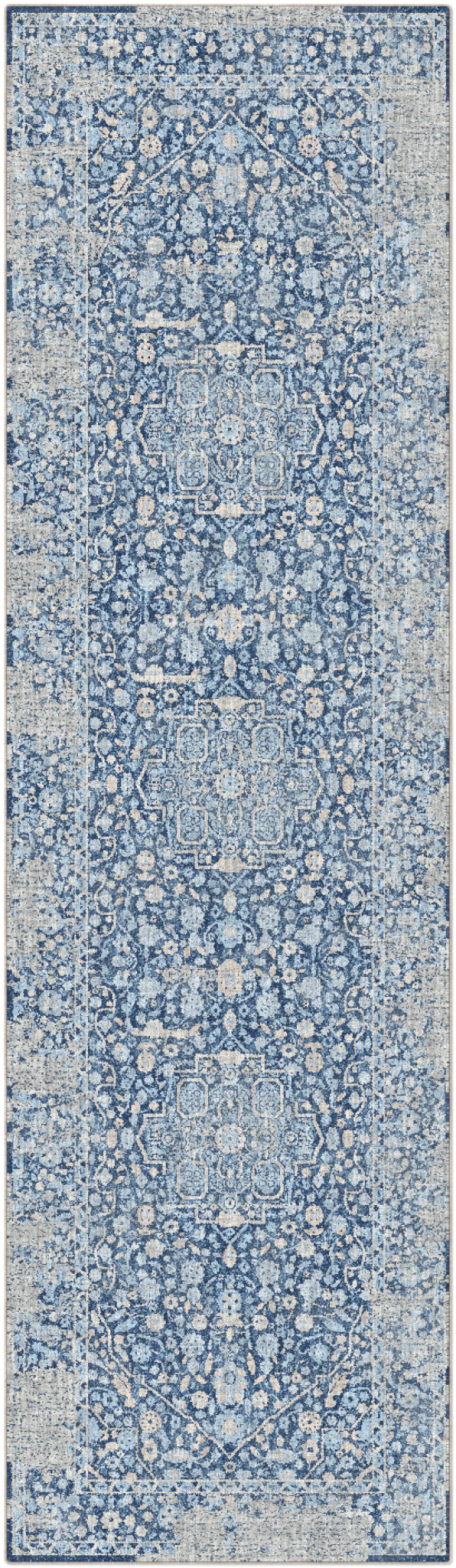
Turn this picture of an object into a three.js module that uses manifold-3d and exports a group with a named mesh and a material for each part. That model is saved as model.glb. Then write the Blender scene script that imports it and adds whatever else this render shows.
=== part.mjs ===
// A machine-woven runner rug: cut pile on a ground of wefts and stuffer warps, with a serged edge.
// Units are millimetres, +Z is up, and +Y runs along the runner towards its head end.
// The origin is the middle of the underside, which lies on the floor at Z = 0.

import * as THREE from 'three';
import * as BufferGeometryUtils from 'three/addons/utils/BufferGeometryUtils.js';
import Module from 'manifold-3d';

const wasm = await Module();
wasm.setup();

// Driving dimensions of the whole rug
const rugWidth = 686;
const rugLength = 2388;
const cornerRadius = 8;
const gap = 0.3; // left between pieces that touch

// The woven layers, from the floor up
const lowerWeftThickness = 1.2;
const stufferThickness = 0.8;
const upperWeftThickness = 0.9;
const pileHeight = 6.2;
const pileEdgeRound = 1.4;

const stufferBottom = lowerWeftThickness + gap;
const upperWeftBottom = stufferBottom + stufferThickness + gap;
const pileBottom = upperWeftBottom + upperWeftThickness + gap;

// The serging: thread overcast round a core cord and through the ground's edge
const beadRadius = 2.8;
const beadFoot = 0.1; // the bead stands this far off the floor
const beadWidth = 4.5; // seen from above, beside the pile
const lipReach = 7; // how far in from the edge the stitches bite
const cordRadius = 1.1;
const pocketRadius = cordRadius + gap;
const cordInset = 2.6; // the core cord's axis, in from the outer edge
const cordHeight = lowerWeftThickness + pocketRadius;
const cornerReturn = 14; // the end serging turns the corner and runs this far along the side
const sideEnd = rugLength / 2 - cornerRadius - cornerReturn;

// How far each layer keeps inside the rug's outline
const weftInset = lipReach + gap;
const stufferInset = cordInset + pocketRadius + gap;
const pileInset = beadWidth + gap;

// The blank care label sewn to the underside, near the foot end
const labelWidth = 62;
const labelLength = 38;
const labelThickness = 0.4;
const labelCentre = new THREE.Vector2(250, -1120);
const labelRecess = beadFoot + labelThickness + gap;
const seamInset = 4; // each row of stitches, in from the label's short end
const seamWidth = 1;
const seamLength = labelLength - 2 * seamInset;

const cornerSegments = 6;
const arcDivisions = 4; // a path's arc gets two chords for each division
const quarterTurn = Math.PI / 2;
const halfTurn = Math.PI;

function material(colour, roughness) {
  return new THREE.MeshStandardMaterial({ color: colour, roughness, metalness: 0 });
}

const pileYarn = material(0x7d93a8, 0.95);
const weftYarn = material(0xb9a98b, 0.9);
const stufferYarn = material(0xd8d2c4, 0.9);
const sergingYarn = material(0xe9e2d6, 0.8);
const cordYarn = material(0xc9c0ae, 0.9);
const labelCloth = material(0xf3f1ec, 0.6);
const labelThread = material(0xfaf8f4, 0.7);

const rug = new THREE.Group();

function addPiece(name, geometry, finish) {
  const piece = new THREE.Mesh(geometry, finish);
  piece.name = name;
  rug.add(piece);
  return piece;
}

// A rectangle with round corners, as far inside the rug's outline as its inset says
function insetOutline(inset) {
  const halfWidth = rugWidth / 2 - inset;
  const halfLength = rugLength / 2 - inset;
  const radius = Math.max(cornerRadius - inset, 0.5);
  const outline = new THREE.Shape();
  outline.absarc(halfWidth - radius, halfLength - radius, radius, 0, quarterTurn);
  outline.absarc(radius - halfWidth, halfLength - radius, radius, quarterTurn, halfTurn);
  outline.absarc(radius - halfWidth, radius - halfLength, radius, halfTurn, 3 * quarterTurn);
  outline.absarc(halfWidth - radius, radius - halfLength, radius, 3 * quarterTurn, 2 * halfTurn);
  outline.closePath();
  return outline;
}

function layer(inset, bottom, thickness) {
  const sheet = new THREE.ExtrudeGeometry(insetOutline(inset), {
    depth: thickness,
    bevelEnabled: false,
    curveSegments: cornerSegments,
  });
  return sheet.translate(0, 0, bottom);
}

// The pile's rim is round above and below, where the serging pulls it in
function pileBody() {
  const body = new THREE.ExtrudeGeometry(insetOutline(pileInset), {
    depth: pileHeight - 2 * pileEdgeRound,
    bevelThickness: pileEdgeRound,
    bevelSize: pileEdgeRound,
    bevelOffset: -pileEdgeRound,
    bevelSegments: 3,
    curveSegments: cornerSegments,
  });
  return body.translate(0, 0, pileBottom + pileEdgeRound);
}

function toSolid(geometry) {
  const bare = geometry.clone();
  bare.deleteAttribute('normal');
  bare.deleteAttribute('uv');
  const merged = BufferGeometryUtils.mergeVertices(bare, 1e-4);
  const vertProperties = Float32Array.from(merged.attributes.position.array);
  const triVerts = Uint32Array.from(merged.index.array);
  return new wasm.Manifold(new wasm.Mesh({ numProp: 3, vertProperties, triVerts }));
}

function toGeometry(solid) {
  const mesh = solid.getMesh();
  const geometry = new THREE.BufferGeometry();
  geometry.setAttribute('position', new THREE.Float32BufferAttribute(mesh.vertProperties, 3));
  geometry.setIndex(Array.from(mesh.triVerts));
  geometry.computeVertexNormals();
  return geometry;
}

function box(width, length, height, centre, bottom) {
  const solid = new THREE.BoxGeometry(width, length, height);
  return solid.translate(centre.x, centre.y, bottom + height / 2);
}

// The wefts under the stuffers are pressed up where the label lies
function lowerWefts() {
  const sheet = toSolid(layer(weftInset, 0, lowerWeftThickness));
  const below = 1; // the cutter starts clear of the underside
  const width = labelWidth + 2 * gap;
  const length = labelLength + 2 * gap;
  const cutter = box(width, length, labelRecess + below, labelCentre, -below);
  return toGeometry(sheet.subtract(toSolid(cutter)));
}

// Stations along the rug's outer edge: a point, and the direction from it into the rug
function station(x, y, inwardAngle) {
  return { point: new THREE.Vector2(x, y), angle: inwardAngle };
}

function sideRoute() {
  const x = rugWidth / 2;
  return [station(x, -sideEnd, halfTurn), station(x, sideEnd, halfTurn)];
}

function cornerRoute(centreX, centreY, startAngle) {
  const stations = [];
  for (let i = 0; i <= cornerSegments; i += 1) {
    const angle = startAngle + (quarterTurn * i) / cornerSegments;
    const x = centreX + cornerRadius * Math.cos(angle);
    const y = centreY + cornerRadius * Math.sin(angle);
    stations.push(station(x, y, angle + halfTurn));
  }
  return stations;
}

function endRoute() {
  const x = rugWidth / 2;
  const start = sideEnd + gap;
  const centreX = x - cornerRadius;
  const centreY = rugLength / 2 - cornerRadius;
  return [
    station(x, start, halfTurn),
    ...cornerRoute(centreX, centreY, 0),
    ...cornerRoute(-centreX, centreY, quarterTurn),
    station(-x, start, 2 * halfTurn),
  ];
}

// Carries a section along a route. The section's x is the distance in from the edge, its y the
// height, and its points go anticlockwise as seen looking back along the route.
function sweep(section, route) {
  const count = section.length;
  const positions = [];
  for (const { point, angle } of route) {
    for (const { x: inset, y: height } of section) {
      positions.push(point.x + inset * Math.cos(angle), point.y + inset * Math.sin(angle), height);
    }
  }
  const index = [];
  for (let s = 0; s < route.length - 1; s += 1) {
    for (let i = 0; i < count; i += 1) {
      const a = s * count + i;
      const b = s * count + ((i + 1) % count);
      index.push(a, b, b + count, a, b + count, a + count);
    }
  }
  const last = (route.length - 1) * count;
  for (const [a, b, c] of THREE.ShapeUtils.triangulateShape(section, [])) {
    index.push(c, b, a, last + a, last + b, last + c);
  }
  const geometry = new THREE.BufferGeometry();
  geometry.setAttribute('position', new THREE.Float32BufferAttribute(positions, 3));
  geometry.setIndex(index);
  geometry.computeVertexNormals();
  return geometry;
}

// A bead beside the pile, round the core cord, with two lips that clasp the stuffer warps
function sergingSection() {
  const beadHeight = beadFoot + beadRadius;
  const wallAngle = Math.acos((beadWidth - beadRadius) / beadRadius);
  const slotAngle = Math.asin((upperWeftBottom - cordHeight) / pocketRadius);
  const section = new THREE.Path();
  section.moveTo(lipReach, beadFoot);
  section.lineTo(lipReach, lowerWeftThickness);
  section.lineTo(cordInset, lowerWeftThickness);
  section.absarc(cordInset, cordHeight, pocketRadius, -quarterTurn, slotAngle - 2 * halfTurn, true);
  section.lineTo(lipReach, upperWeftBottom);
  section.lineTo(lipReach, upperWeftBottom + upperWeftThickness);
  section.lineTo(beadWidth, upperWeftBottom + upperWeftThickness);
  section.absarc(beadRadius, beadHeight, beadRadius, wallAngle, halfTurn, false);
  section.absarc(beadRadius, beadHeight, beadRadius, halfTurn, 3 * quarterTurn, false);
  return distinctPoints(section.getPoints(arcDivisions));
}

function cordSection() {
  const circle = new THREE.Path();
  circle.absarc(cordInset, cordHeight, cordRadius, 0, 2 * halfTurn);
  return distinctPoints(circle.getPoints(arcDivisions));
}

function distinctPoints(points) {
  const tolerance = 1e-6;
  return points.filter((p, i) => p.distanceTo(points[(i + 1) % points.length]) > tolerance);
}

// The label's cloth has a slot for each row of stitches
function label() {
  let cloth = toSolid(box(labelWidth, labelLength, labelThickness, labelCentre, beadFoot));
  for (const side of [-1, 1]) {
    const slotHeight = 3 * labelThickness;
    const slotBottom = beadFoot - labelThickness;
    const slot = box(seamWidth + 2 * gap, seamLength + 2 * gap, slotHeight, seamCentre(side), slotBottom);
    cloth = cloth.subtract(toSolid(slot));
  }
  return toGeometry(cloth);
}

function seamCentre(side) {
  return new THREE.Vector2(labelCentre.x + side * (labelWidth / 2 - seamInset), labelCentre.y);
}

function labelSeam(side) {
  return box(seamWidth, seamLength, labelThickness, seamCentre(side), beadFoot);
}

addPiece('pile', pileBody(), pileYarn);
addPiece('upper_weft_shots', layer(weftInset, upperWeftBottom, upperWeftThickness), weftYarn);
addPiece('stuffer_warps', layer(stufferInset, stufferBottom, stufferThickness), stufferYarn);
addPiece('lower_weft_shots', lowerWefts(), weftYarn);

const bead = sergingSection();
const cord = cordSection();
addPiece('side_serging_right', sweep(bead, sideRoute()), sergingYarn);
addPiece('side_serging_left', sweep(bead, sideRoute()), sergingYarn).rotateZ(halfTurn);
addPiece('end_serging_head', sweep(bead, endRoute()), sergingYarn);
addPiece('end_serging_foot', sweep(bead, endRoute()), sergingYarn).rotateZ(halfTurn);
addPiece('side_cord_right', sweep(cord, sideRoute()), cordYarn);
addPiece('side_cord_left', sweep(cord, sideRoute()), cordYarn).rotateZ(halfTurn);
addPiece('end_cord_head', sweep(cord, endRoute()), cordYarn);
addPiece('end_cord_foot', sweep(cord, endRoute()), cordYarn).rotateZ(halfTurn);

addPiece('care_label', label(), labelCloth);
addPiece('label_seam_inner', labelSeam(-1), labelThread);
addPiece('label_seam_outer', labelSeam(1), labelThread);

export default rug;
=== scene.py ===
"""A machine-woven runner rug: a cut pile whose yarns draw the design, on a woven ground, with a
serged edge all round and a blank care label underneath. Lengths are in metres unless a name or a
comment says millimetres: the design is drawn in millimetres, as on a weaver's point paper."""

import math

import bpy
import numpy as np
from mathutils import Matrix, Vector


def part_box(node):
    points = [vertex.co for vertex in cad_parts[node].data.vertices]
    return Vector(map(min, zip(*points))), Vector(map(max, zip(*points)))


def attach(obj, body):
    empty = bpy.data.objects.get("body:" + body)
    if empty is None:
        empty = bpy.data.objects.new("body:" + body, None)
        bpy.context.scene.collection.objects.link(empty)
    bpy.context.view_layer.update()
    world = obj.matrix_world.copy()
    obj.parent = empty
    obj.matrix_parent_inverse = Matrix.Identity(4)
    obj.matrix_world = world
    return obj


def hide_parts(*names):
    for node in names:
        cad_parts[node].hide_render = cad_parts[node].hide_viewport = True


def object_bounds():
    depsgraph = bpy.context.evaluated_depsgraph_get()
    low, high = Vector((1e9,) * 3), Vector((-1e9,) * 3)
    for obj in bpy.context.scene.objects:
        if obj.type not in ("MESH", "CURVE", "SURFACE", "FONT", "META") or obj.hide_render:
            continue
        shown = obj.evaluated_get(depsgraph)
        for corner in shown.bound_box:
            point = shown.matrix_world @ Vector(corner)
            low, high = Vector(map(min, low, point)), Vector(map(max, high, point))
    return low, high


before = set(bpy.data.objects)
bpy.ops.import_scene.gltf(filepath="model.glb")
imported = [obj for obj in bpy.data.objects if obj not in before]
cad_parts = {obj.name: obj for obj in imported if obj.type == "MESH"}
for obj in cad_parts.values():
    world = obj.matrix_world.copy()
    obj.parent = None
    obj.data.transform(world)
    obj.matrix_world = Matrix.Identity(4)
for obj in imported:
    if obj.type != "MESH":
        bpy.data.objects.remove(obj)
cad_low, cad_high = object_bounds()

MM = 0.001

# Yarns of the pile
NAVY, DENIM, STEEL, SKY, MIST, CREAM, BLUSH = range(7)
GROUND = STEEL  # this yarn and those before it are ground, the others draw on it

# The point paper, in millimetres. u runs across from the design's axis, v runs along from the
# middle of a medallion.
CELL = 1.0
RIM = 1.6  # the dark outline round a motif
PERIOD = 542.3  # from one medallion to the next
HALF = PERIOD / 2
AXIS = 3.0  # the design's axis lies this far right of the rug's middle
DESIGN_EDGE = 346.0  # from the axis to the rug's further side
DESIGN_END = 650.5  # from the last medallion's middle to the rug's end
FAR = 999  # past every edge of the paper
SPARE = 9  # what is drawn past the design's own edges
FIELD_EDGE = 219.0  # from the axis to where the field ends and the inner guard starts
GUARD_EDGE = 236.6  # from the axis to the inner guard's outer line
OUTER_GUARD = (315.0, 332.0)  # from the axis to the outer guard's two lines
END_LINES = (523.0, 540.6, 617.0, 635.3)  # the same four lines across the ends
GUARD_LINE = 1.2  # half the width of a guard's edge line
GUARD_RIM = 1.5  # a guard reaches this far past its lines
BLOCK = PERIOD / 16  # one guard block
BRACKET_STEP = HALF * 0.4265  # from one side bracket to the next
RIGHT_STRETCH = 1.04  # the right border is woven a little narrower than the left one
END_START = 229.0  # from the last medallion's middle to the end's own drawing
BAND_START = PERIOD + END_LINES[3] + GUARD_RIM  # from the rug's middle to the edge band
END_ZONE = PERIOD + HALF + 25  # from the rug's middle to where wear no longer repeats


class Paper:
    """A sheet of point paper: a yarn for each cell, u across from the axis, v along."""

    def __init__(self, low, high, ground):
        self.u = np.arange(0.0, DESIGN_EDGE + 4, CELL)
        self.v = np.arange(low, high + CELL, CELL)
        self.yarn = np.full((len(self.v), len(self.u)), ground, np.uint8)

    def paint(self, low_u, low_v, high_u, high_v, depth, yarn, rim=RIM):
        """Fill the cells where depth(u, v) is below zero, with a dark rim round them."""
        margin = rim + CELL
        c0, c1 = np.searchsorted(self.u, (low_u - margin, high_u + margin))
        r0, r1 = np.searchsorted(self.v, (low_v - margin, high_v + margin))
        if c0 >= c1 or r0 >= r1:
            return
        patch = self.yarn[r0:r1, c0:c1]
        outside = depth(self.u[None, c0:c1], self.v[r0:r1, None])
        if rim > 0:
            patch[(outside < rim) & (outside >= 0) & (patch <= GROUND)] = NAVY
        patch[outside < 0] = yarn

    def flower(self, u, v, size, yarn, petals=8, notch=0.1, tall=1.0, heart=None, core=0.3,
               dots=0, rim=RIM):
        """A lobed disc; tall stretches it along v; heart is its middle's yarn, dots a dark ring."""
        def depth(x, y):
            dx, dy = x - u, (y - v) / tall
            lobe = 1 + notch * np.cos(petals * np.arctan2(dy, dx))
            return np.hypot(dx, dy) - size * lobe
        reach = size * (1 + notch)
        self.paint(u - reach, v - reach * tall, u + reach, v + reach * tall, depth, yarn, rim)
        for i in range(dots):
            angle = (i + 0.5) * 2 * math.pi / dots
            self.dot(u + 0.62 * size * math.cos(angle), v + 0.62 * size * tall * math.sin(angle), 1.5)
        if heart is not None:
            self.oval(u, v, size * core, heart, tall, rim=0)

    def oval(self, u, v, width, yarn, tall=1.0, rim=RIM):
        """A plain disc, or an oval when tall isn't 1."""
        self.flower(u, v, width, yarn, petals=0, notch=0, tall=tall, rim=rim)

    def dot(self, u, v, size=2.0, yarn=NAVY):
        """A small disc without a rim."""
        self.oval(u, v, size, yarn, rim=0)

    def dot_ring(self, u, v, reach, count, start, size):
        """Dots on a circle; start is the first one's angle, in degrees from +u."""
        for i in range(count):
            turn = math.radians(360 / count * i + start)
            self.dot(u + reach * math.cos(turn), v + reach * math.sin(turn), size)

    def ring(self, u, v, size, yarn, fill, width, tall=1.0, petals=8, notch=0.0):
        """A lobed disc in one yarn with a smaller one in another yarn on it."""
        self.flower(u, v, size, yarn, petals, notch, tall)
        self.flower(u, v, size - width, fill, petals, notch, tall, rim=0)

    def diamond(self, u, v, width, height, yarn, heart=None):
        """A diamond; heart is the yarn of the oval in its middle."""
        def depth(x, y):
            return (np.abs(x - u) / width + np.abs(y - v) / height - 1) * min(width, height) * 0.8
        self.paint(u - width, v - height, u + width, v + height, depth, yarn)
        if heart is not None:
            self.oval(u, v, width * 0.28, heart, height / width, rim=0)

    def leaf(self, u0, v0, u1, v1, width, yarn, rim=RIM):
        """A pointed leaf between two tips."""
        length = math.hypot(u1 - u0, v1 - v0)
        along = ((u1 - u0) / length, (v1 - v0) / length)
        mid = ((u0 + u1) / 2, (v0 + v1) / 2)

        def depth(x, y):
            t = ((x - mid[0]) * along[0] + (y - mid[1]) * along[1]) / (length / 2)
            s = np.abs((y - mid[1]) * along[0] - (x - mid[0]) * along[1])
            return np.where(np.abs(t) < 1.1, s - width / 2 * (1 - np.abs(t) ** 2.2), 9.0)
        reach = width / 2
        self.paint(min(u0, u1) - reach, min(v0, v1) - reach, max(u0, u1) + reach,
                   max(v0, v1) + reach, depth, yarn, rim)

    def line(self, points, width, yarn, rim=RIM):
        """A line of even width through the points."""
        spots = np.array(points, float)

        def depth(x, y):
            nearest = np.full(np.broadcast(x, y).shape, 1e9)
            for (au, av), (bu, bv) in zip(spots[:-1], spots[1:]):
                du, dv = bu - au, bv - av
                t = np.clip(((x - au) * du + (y - av) * dv) / (du * du + dv * dv), 0, 1)
                nearest = np.minimum(nearest, np.hypot(x - au - t * du, y - av - t * dv))
            return nearest - width / 2
        half = width / 2
        low, high = spots.min(0) - half, spots.max(0) + half
        self.paint(low[0], low[1], high[0], high[1], depth, yarn, rim)

    def curl(self, points, width, yarn, rim=RIM):
        """A line bent smoothly through the points."""
        spots = np.array(points, float)
        ends = np.vstack([2 * spots[0] - spots[1], spots, 2 * spots[-1] - spots[-2]])
        t = np.linspace(0, 1, 6)[:-1, None]
        bent = [0.5 * (2 * b + (c - a) * t + (2 * a - 5 * b + 4 * c - d) * t ** 2
                       + (3 * b - a - 3 * c + d) * t ** 3)
                for a, b, c, d in zip(ends, ends[1:], ends[2:], ends[3:])]
        self.line(np.vstack(bent + [spots[-1:]]), width, yarn, rim)

    def tulip(self, u, v, size, turn, yarn, heart=None):
        """Three leaves fanned out from a foot; turn is its way up, in degrees from +u."""
        for spread in (-38, 38, 0):
            angle = math.radians(turn + spread)
            self.leaf(u, v, u + size * math.cos(angle), v + size * math.sin(angle), size * 0.5, yarn)
        if heart is not None:
            angle = math.radians(turn)
            self.dot(u + 0.45 * size * math.cos(angle), v + 0.45 * size * math.sin(angle),
                     size * 0.13, heart)


def fill_gaps(p, area, seed, sizes, gap=1.6, tries=1500, rim=0.9):
    """Small blossoms, leaves and tendrils wherever the drawing still leaves bare ground."""
    chance = np.random.default_rng(seed)
    low_u, high_u, low_v, high_v = area
    yarns = (SKY, SKY, SKY, MIST, MIST, CREAM, BLUSH)
    for size in sizes:
        reach = int(math.ceil(size + gap))
        across, along = np.meshgrid(np.arange(-reach, reach + 1), np.arange(-reach, reach + 1))
        disc = np.hypot(across, along) <= size + gap
        spots = chance.random((tries, 2)) * (high_u - low_u, high_v - low_v) + (low_u, low_v)
        for u, v in spots:
            column, row = int(round(u - p.u[0])), int(round(v - p.v[0]))
            left, top = max(reach - column, 0), max(reach - row, 0)
            window = p.yarn[row - reach + top:row + reach + 1,
                            column - reach + left:column + reach + 1]
            seen = disc[top:top + window.shape[0], left:left + window.shape[1]]
            if (window[seen] > GROUND).any():
                continue
            yarn = yarns[chance.integers(len(yarns))]
            kind, turn = chance.random(), chance.random() * 2 * math.pi
            du, dv = 1.15 * size * math.cos(turn), 1.15 * size * math.sin(turn)
            if kind < 0.4:
                p.flower(u, v, size, yarn, int(chance.integers(4, 7)), 0.18, rim=rim)
                if size > 4:
                    p.dot(u, v, 1.6)
            elif kind < 0.72:
                p.leaf(u - du, v - dv, u + du, v + dv, 0.95 * size, yarn, rim=rim)
            else:
                bend = chance.uniform(-0.9, 0.9)
                p.curl([(u - 1.2 * du, v - 1.2 * dv), (u - bend * dv, v + bend * du),
                        (u + 1.2 * du, v + 1.2 * dv)], 2.6, yarn, rim)


def medallion(p):
    """A quarter of the medallion: it mirrors about the axis and about v = 0."""
    for width, height in ((51, 127), (91, 103), (101, 54), (132, 34)):
        straight(p, 0, 0, width, height, STEEL)
    p.line([(0, 160), (26, 133)], 5, SKY)
    p.line([(96, 58), (91, 84), (91, 96)], 5, SKY)
    p.line([(51, 103), (82, 103)], 6, CREAM)
    p.flower(0, 123, 21, BLUSH, 7, 0.08, tall=0.6)
    p.line([(0, 127), (51, 127), (51, 103)], 6, CREAM)
    p.line([(101, 54), (101, 36), (129, 36), (129, 26), (142, 0)], 5.5, CREAM)
    p.flower(0, 100, 16, MIST, 8, 0.08)
    p.ring(0, 99, 10, DENIM, CREAM, 2.4)
    p.oval(0, 99, 2.5, DENIM, rim=0)
    for u, v in ((12, 108), (7, 113), (13, 97)):
        p.dot(u, v, 1.7)
    p.flower(12, 119, 4, BLUSH, 5, 0.15)
    p.flower(2, 118, 4, CREAM, 5, 0.15)
    p.curl([(0, 84), (14, 82), (24, 75), (36, 64)], 4, MIST)
    # corner blossoms inside the stepped outline
    p.flower(33, 115, 6, CREAM, 6, 0.15)
    p.flower(40, 103, 4.5, CREAM, 5, 0.15)
    p.flower(43, 118, 3.5, SKY, 5, 0.15)
    p.flower(29, 91, 6.5, SKY, 6, 0.1, heart=CREAM, core=0.6)
    p.dot(29, 93, 1.3)
    # rounded square cartouche with four small flowers
    ring = [(60, 34), (70, 34), (79, 43), (79, 81), (71, 90), (45, 90), (36, 81), (36, 44),
            (41, 38), (60, 35)]
    p.line(ring, 9, NAVY, rim=0)
    p.line(ring, 5.5, CREAM, rim=0)
    p.flower(57.5, 62, 18, SKY, 4, 0.1, tall=1.2)
    for u in (50.5, 63):
        for v in (54, 69):
            p.ring(u, v, 6, DENIM, MIST, 2)
    for u, v in ((57, 61), (57, 78), (45, 61), (70, 61), (57, 46)):
        p.dot(u, v, 2, DENIM)
    p.flower(60, 41, 4, SKY, 5, 0.15)
    # outside the cartouche
    p.oval(88, 68, 2.6, SKY, 2.6)
    p.oval(90, 42, 4.5, MIST, 2)
    p.flower(80, 28, 4.5, MIST, 6, 0.1)
    p.flower(91, 30, 3.5, MIST, 5, 0.1)
    p.leaf(55, 32, 56, 15, 7, CREAM)
    p.flower(65, 14, 4.5, CREAM, 5, 0.15)
    p.flower(54, 8, 4, MIST, 5, 0.1)
    p.curl([(60, 38), (66, 30), (74, 24), (77, 12), (74, 2)], 3, SKY)
    p.curl([(38, 38), (46, 28), (42, 16), (34, 10)], 4, MIST)
    p.flower(36, 9, 5, BLUSH, 6, 0.12)
    p.curl([(40, 0), (46, 9), (56, 11), (63, 6), (66, 0)], 4, MIST)
    p.leaf(18, 33, 30, 24, 8, SKY)
    p.flower(32, 21, 4.5, SKY, 5, 0.15)
    p.flower(24, 32, 4, MIST, 5, 0.1)
    p.leaf(22, 68, 28, 56, 7, SKY)
    p.leaf(22, 54, 32, 44, 7, SKY)
    p.leaf(13, 80, 16, 66, 5, SKY)
    p.flower(107, 20, 5, SKY, 5, 0.12)
    p.flower(116, 17, 6, MIST, 6, 0.12)
    p.ring(94, 0, 11, MIST, DENIM, 3.5)
    p.flower(94, 0, 5, CREAM, 8, 0.15, rim=0)
    p.line([(107, 0), (124, 0)], 3.5, CREAM)
    p.curl([(78, 22), (88, 22), (100, 24), (100, 12)], 2.6, SKY)
    # upright strokes and central rosette
    p.curl([(14, 30), (17, 42), (16, 52), (11, 59)], 4.5, CREAM)
    p.leaf(0, 62, 0, 44, 9, CREAM)
    p.leaf(0, 42, 0, 30, 6, SKY)
    p.flower(0, 0, 23, CREAM, 10, 0.05, rim=2.4)
    p.flower(0, 0, 12.5, SKY, 8, 0.08)
    p.oval(0, 0, 7, MIST)
    p.dot(0, 0, 2.5)
    p.dot_ring(0, 0, 15.5, 10, 18, 2.0)


def side_bracket(p, shift):
    """One of the hooked brackets along the field's sides, with what it holds."""
    def at(points):
        return [(u, v + shift) for u, v in points]
    p.curl(at([(177, 78), (177, 98), (181, 109), (190, 115), (203, 117)]), 3.6, CREAM)
    p.curl(at([(178, 82), (196, 82), (203, 76), (205, 62), (203, 49), (192, 34), (192, 19)]), 3.6,
           CREAM)
    p.oval(191, 107 + shift, 4, CREAM, 1.5)
    p.oval(185, 91 + shift, 4.5, CREAM)
    p.flower(206, 93 + shift, 9.5, MIST, 8, 0.05, heart=CREAM, core=0.35)
    p.oval(212, 71 + shift, 5, SKY, 1.2)
    p.flower(191, 59 + shift, 9.5, MIST, 4, 0.16, tall=1.25, heart=CREAM, core=0.45)
    p.flower(205, 60 + shift, 4, CREAM, 5, 0.1)
    p.leaf(212, 42 + shift, 210, 18 + shift, 9, SKY)
    p.flower(182, 38 + shift, 6.6, CREAM, 6, 0.08, heart=BLUSH)
    p.leaf(162, 58 + shift, 177, 69 + shift, 8, BLUSH)
    p.leaf(160, 40 + shift, 173, 50 + shift, 6.5, BLUSH)
    p.flower(198, 30 + shift, 4, MIST, 5, 0.15)
    # the vine beside the bracket, with its sky flowers
    p.curl(at([(156, 110), (148, 92), (157, 76), (156, 52), (168, 36)]), 3.2, MIST)
    p.leaf(148, 127 + shift, 157, 113 + shift, 6, SKY)
    p.leaf(157, 112 + shift, 170, 99 + shift, 6, MIST)
    p.flower(151, 100 + shift, 7.5, SKY, 7, 0.06)
    p.flower(159, 84 + shift, 8, SKY, 7, 0.1)
    p.dot(155, 86 + shift)
    p.oval(157, 64 + shift, 4.5, MIST, 1.5)


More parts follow.
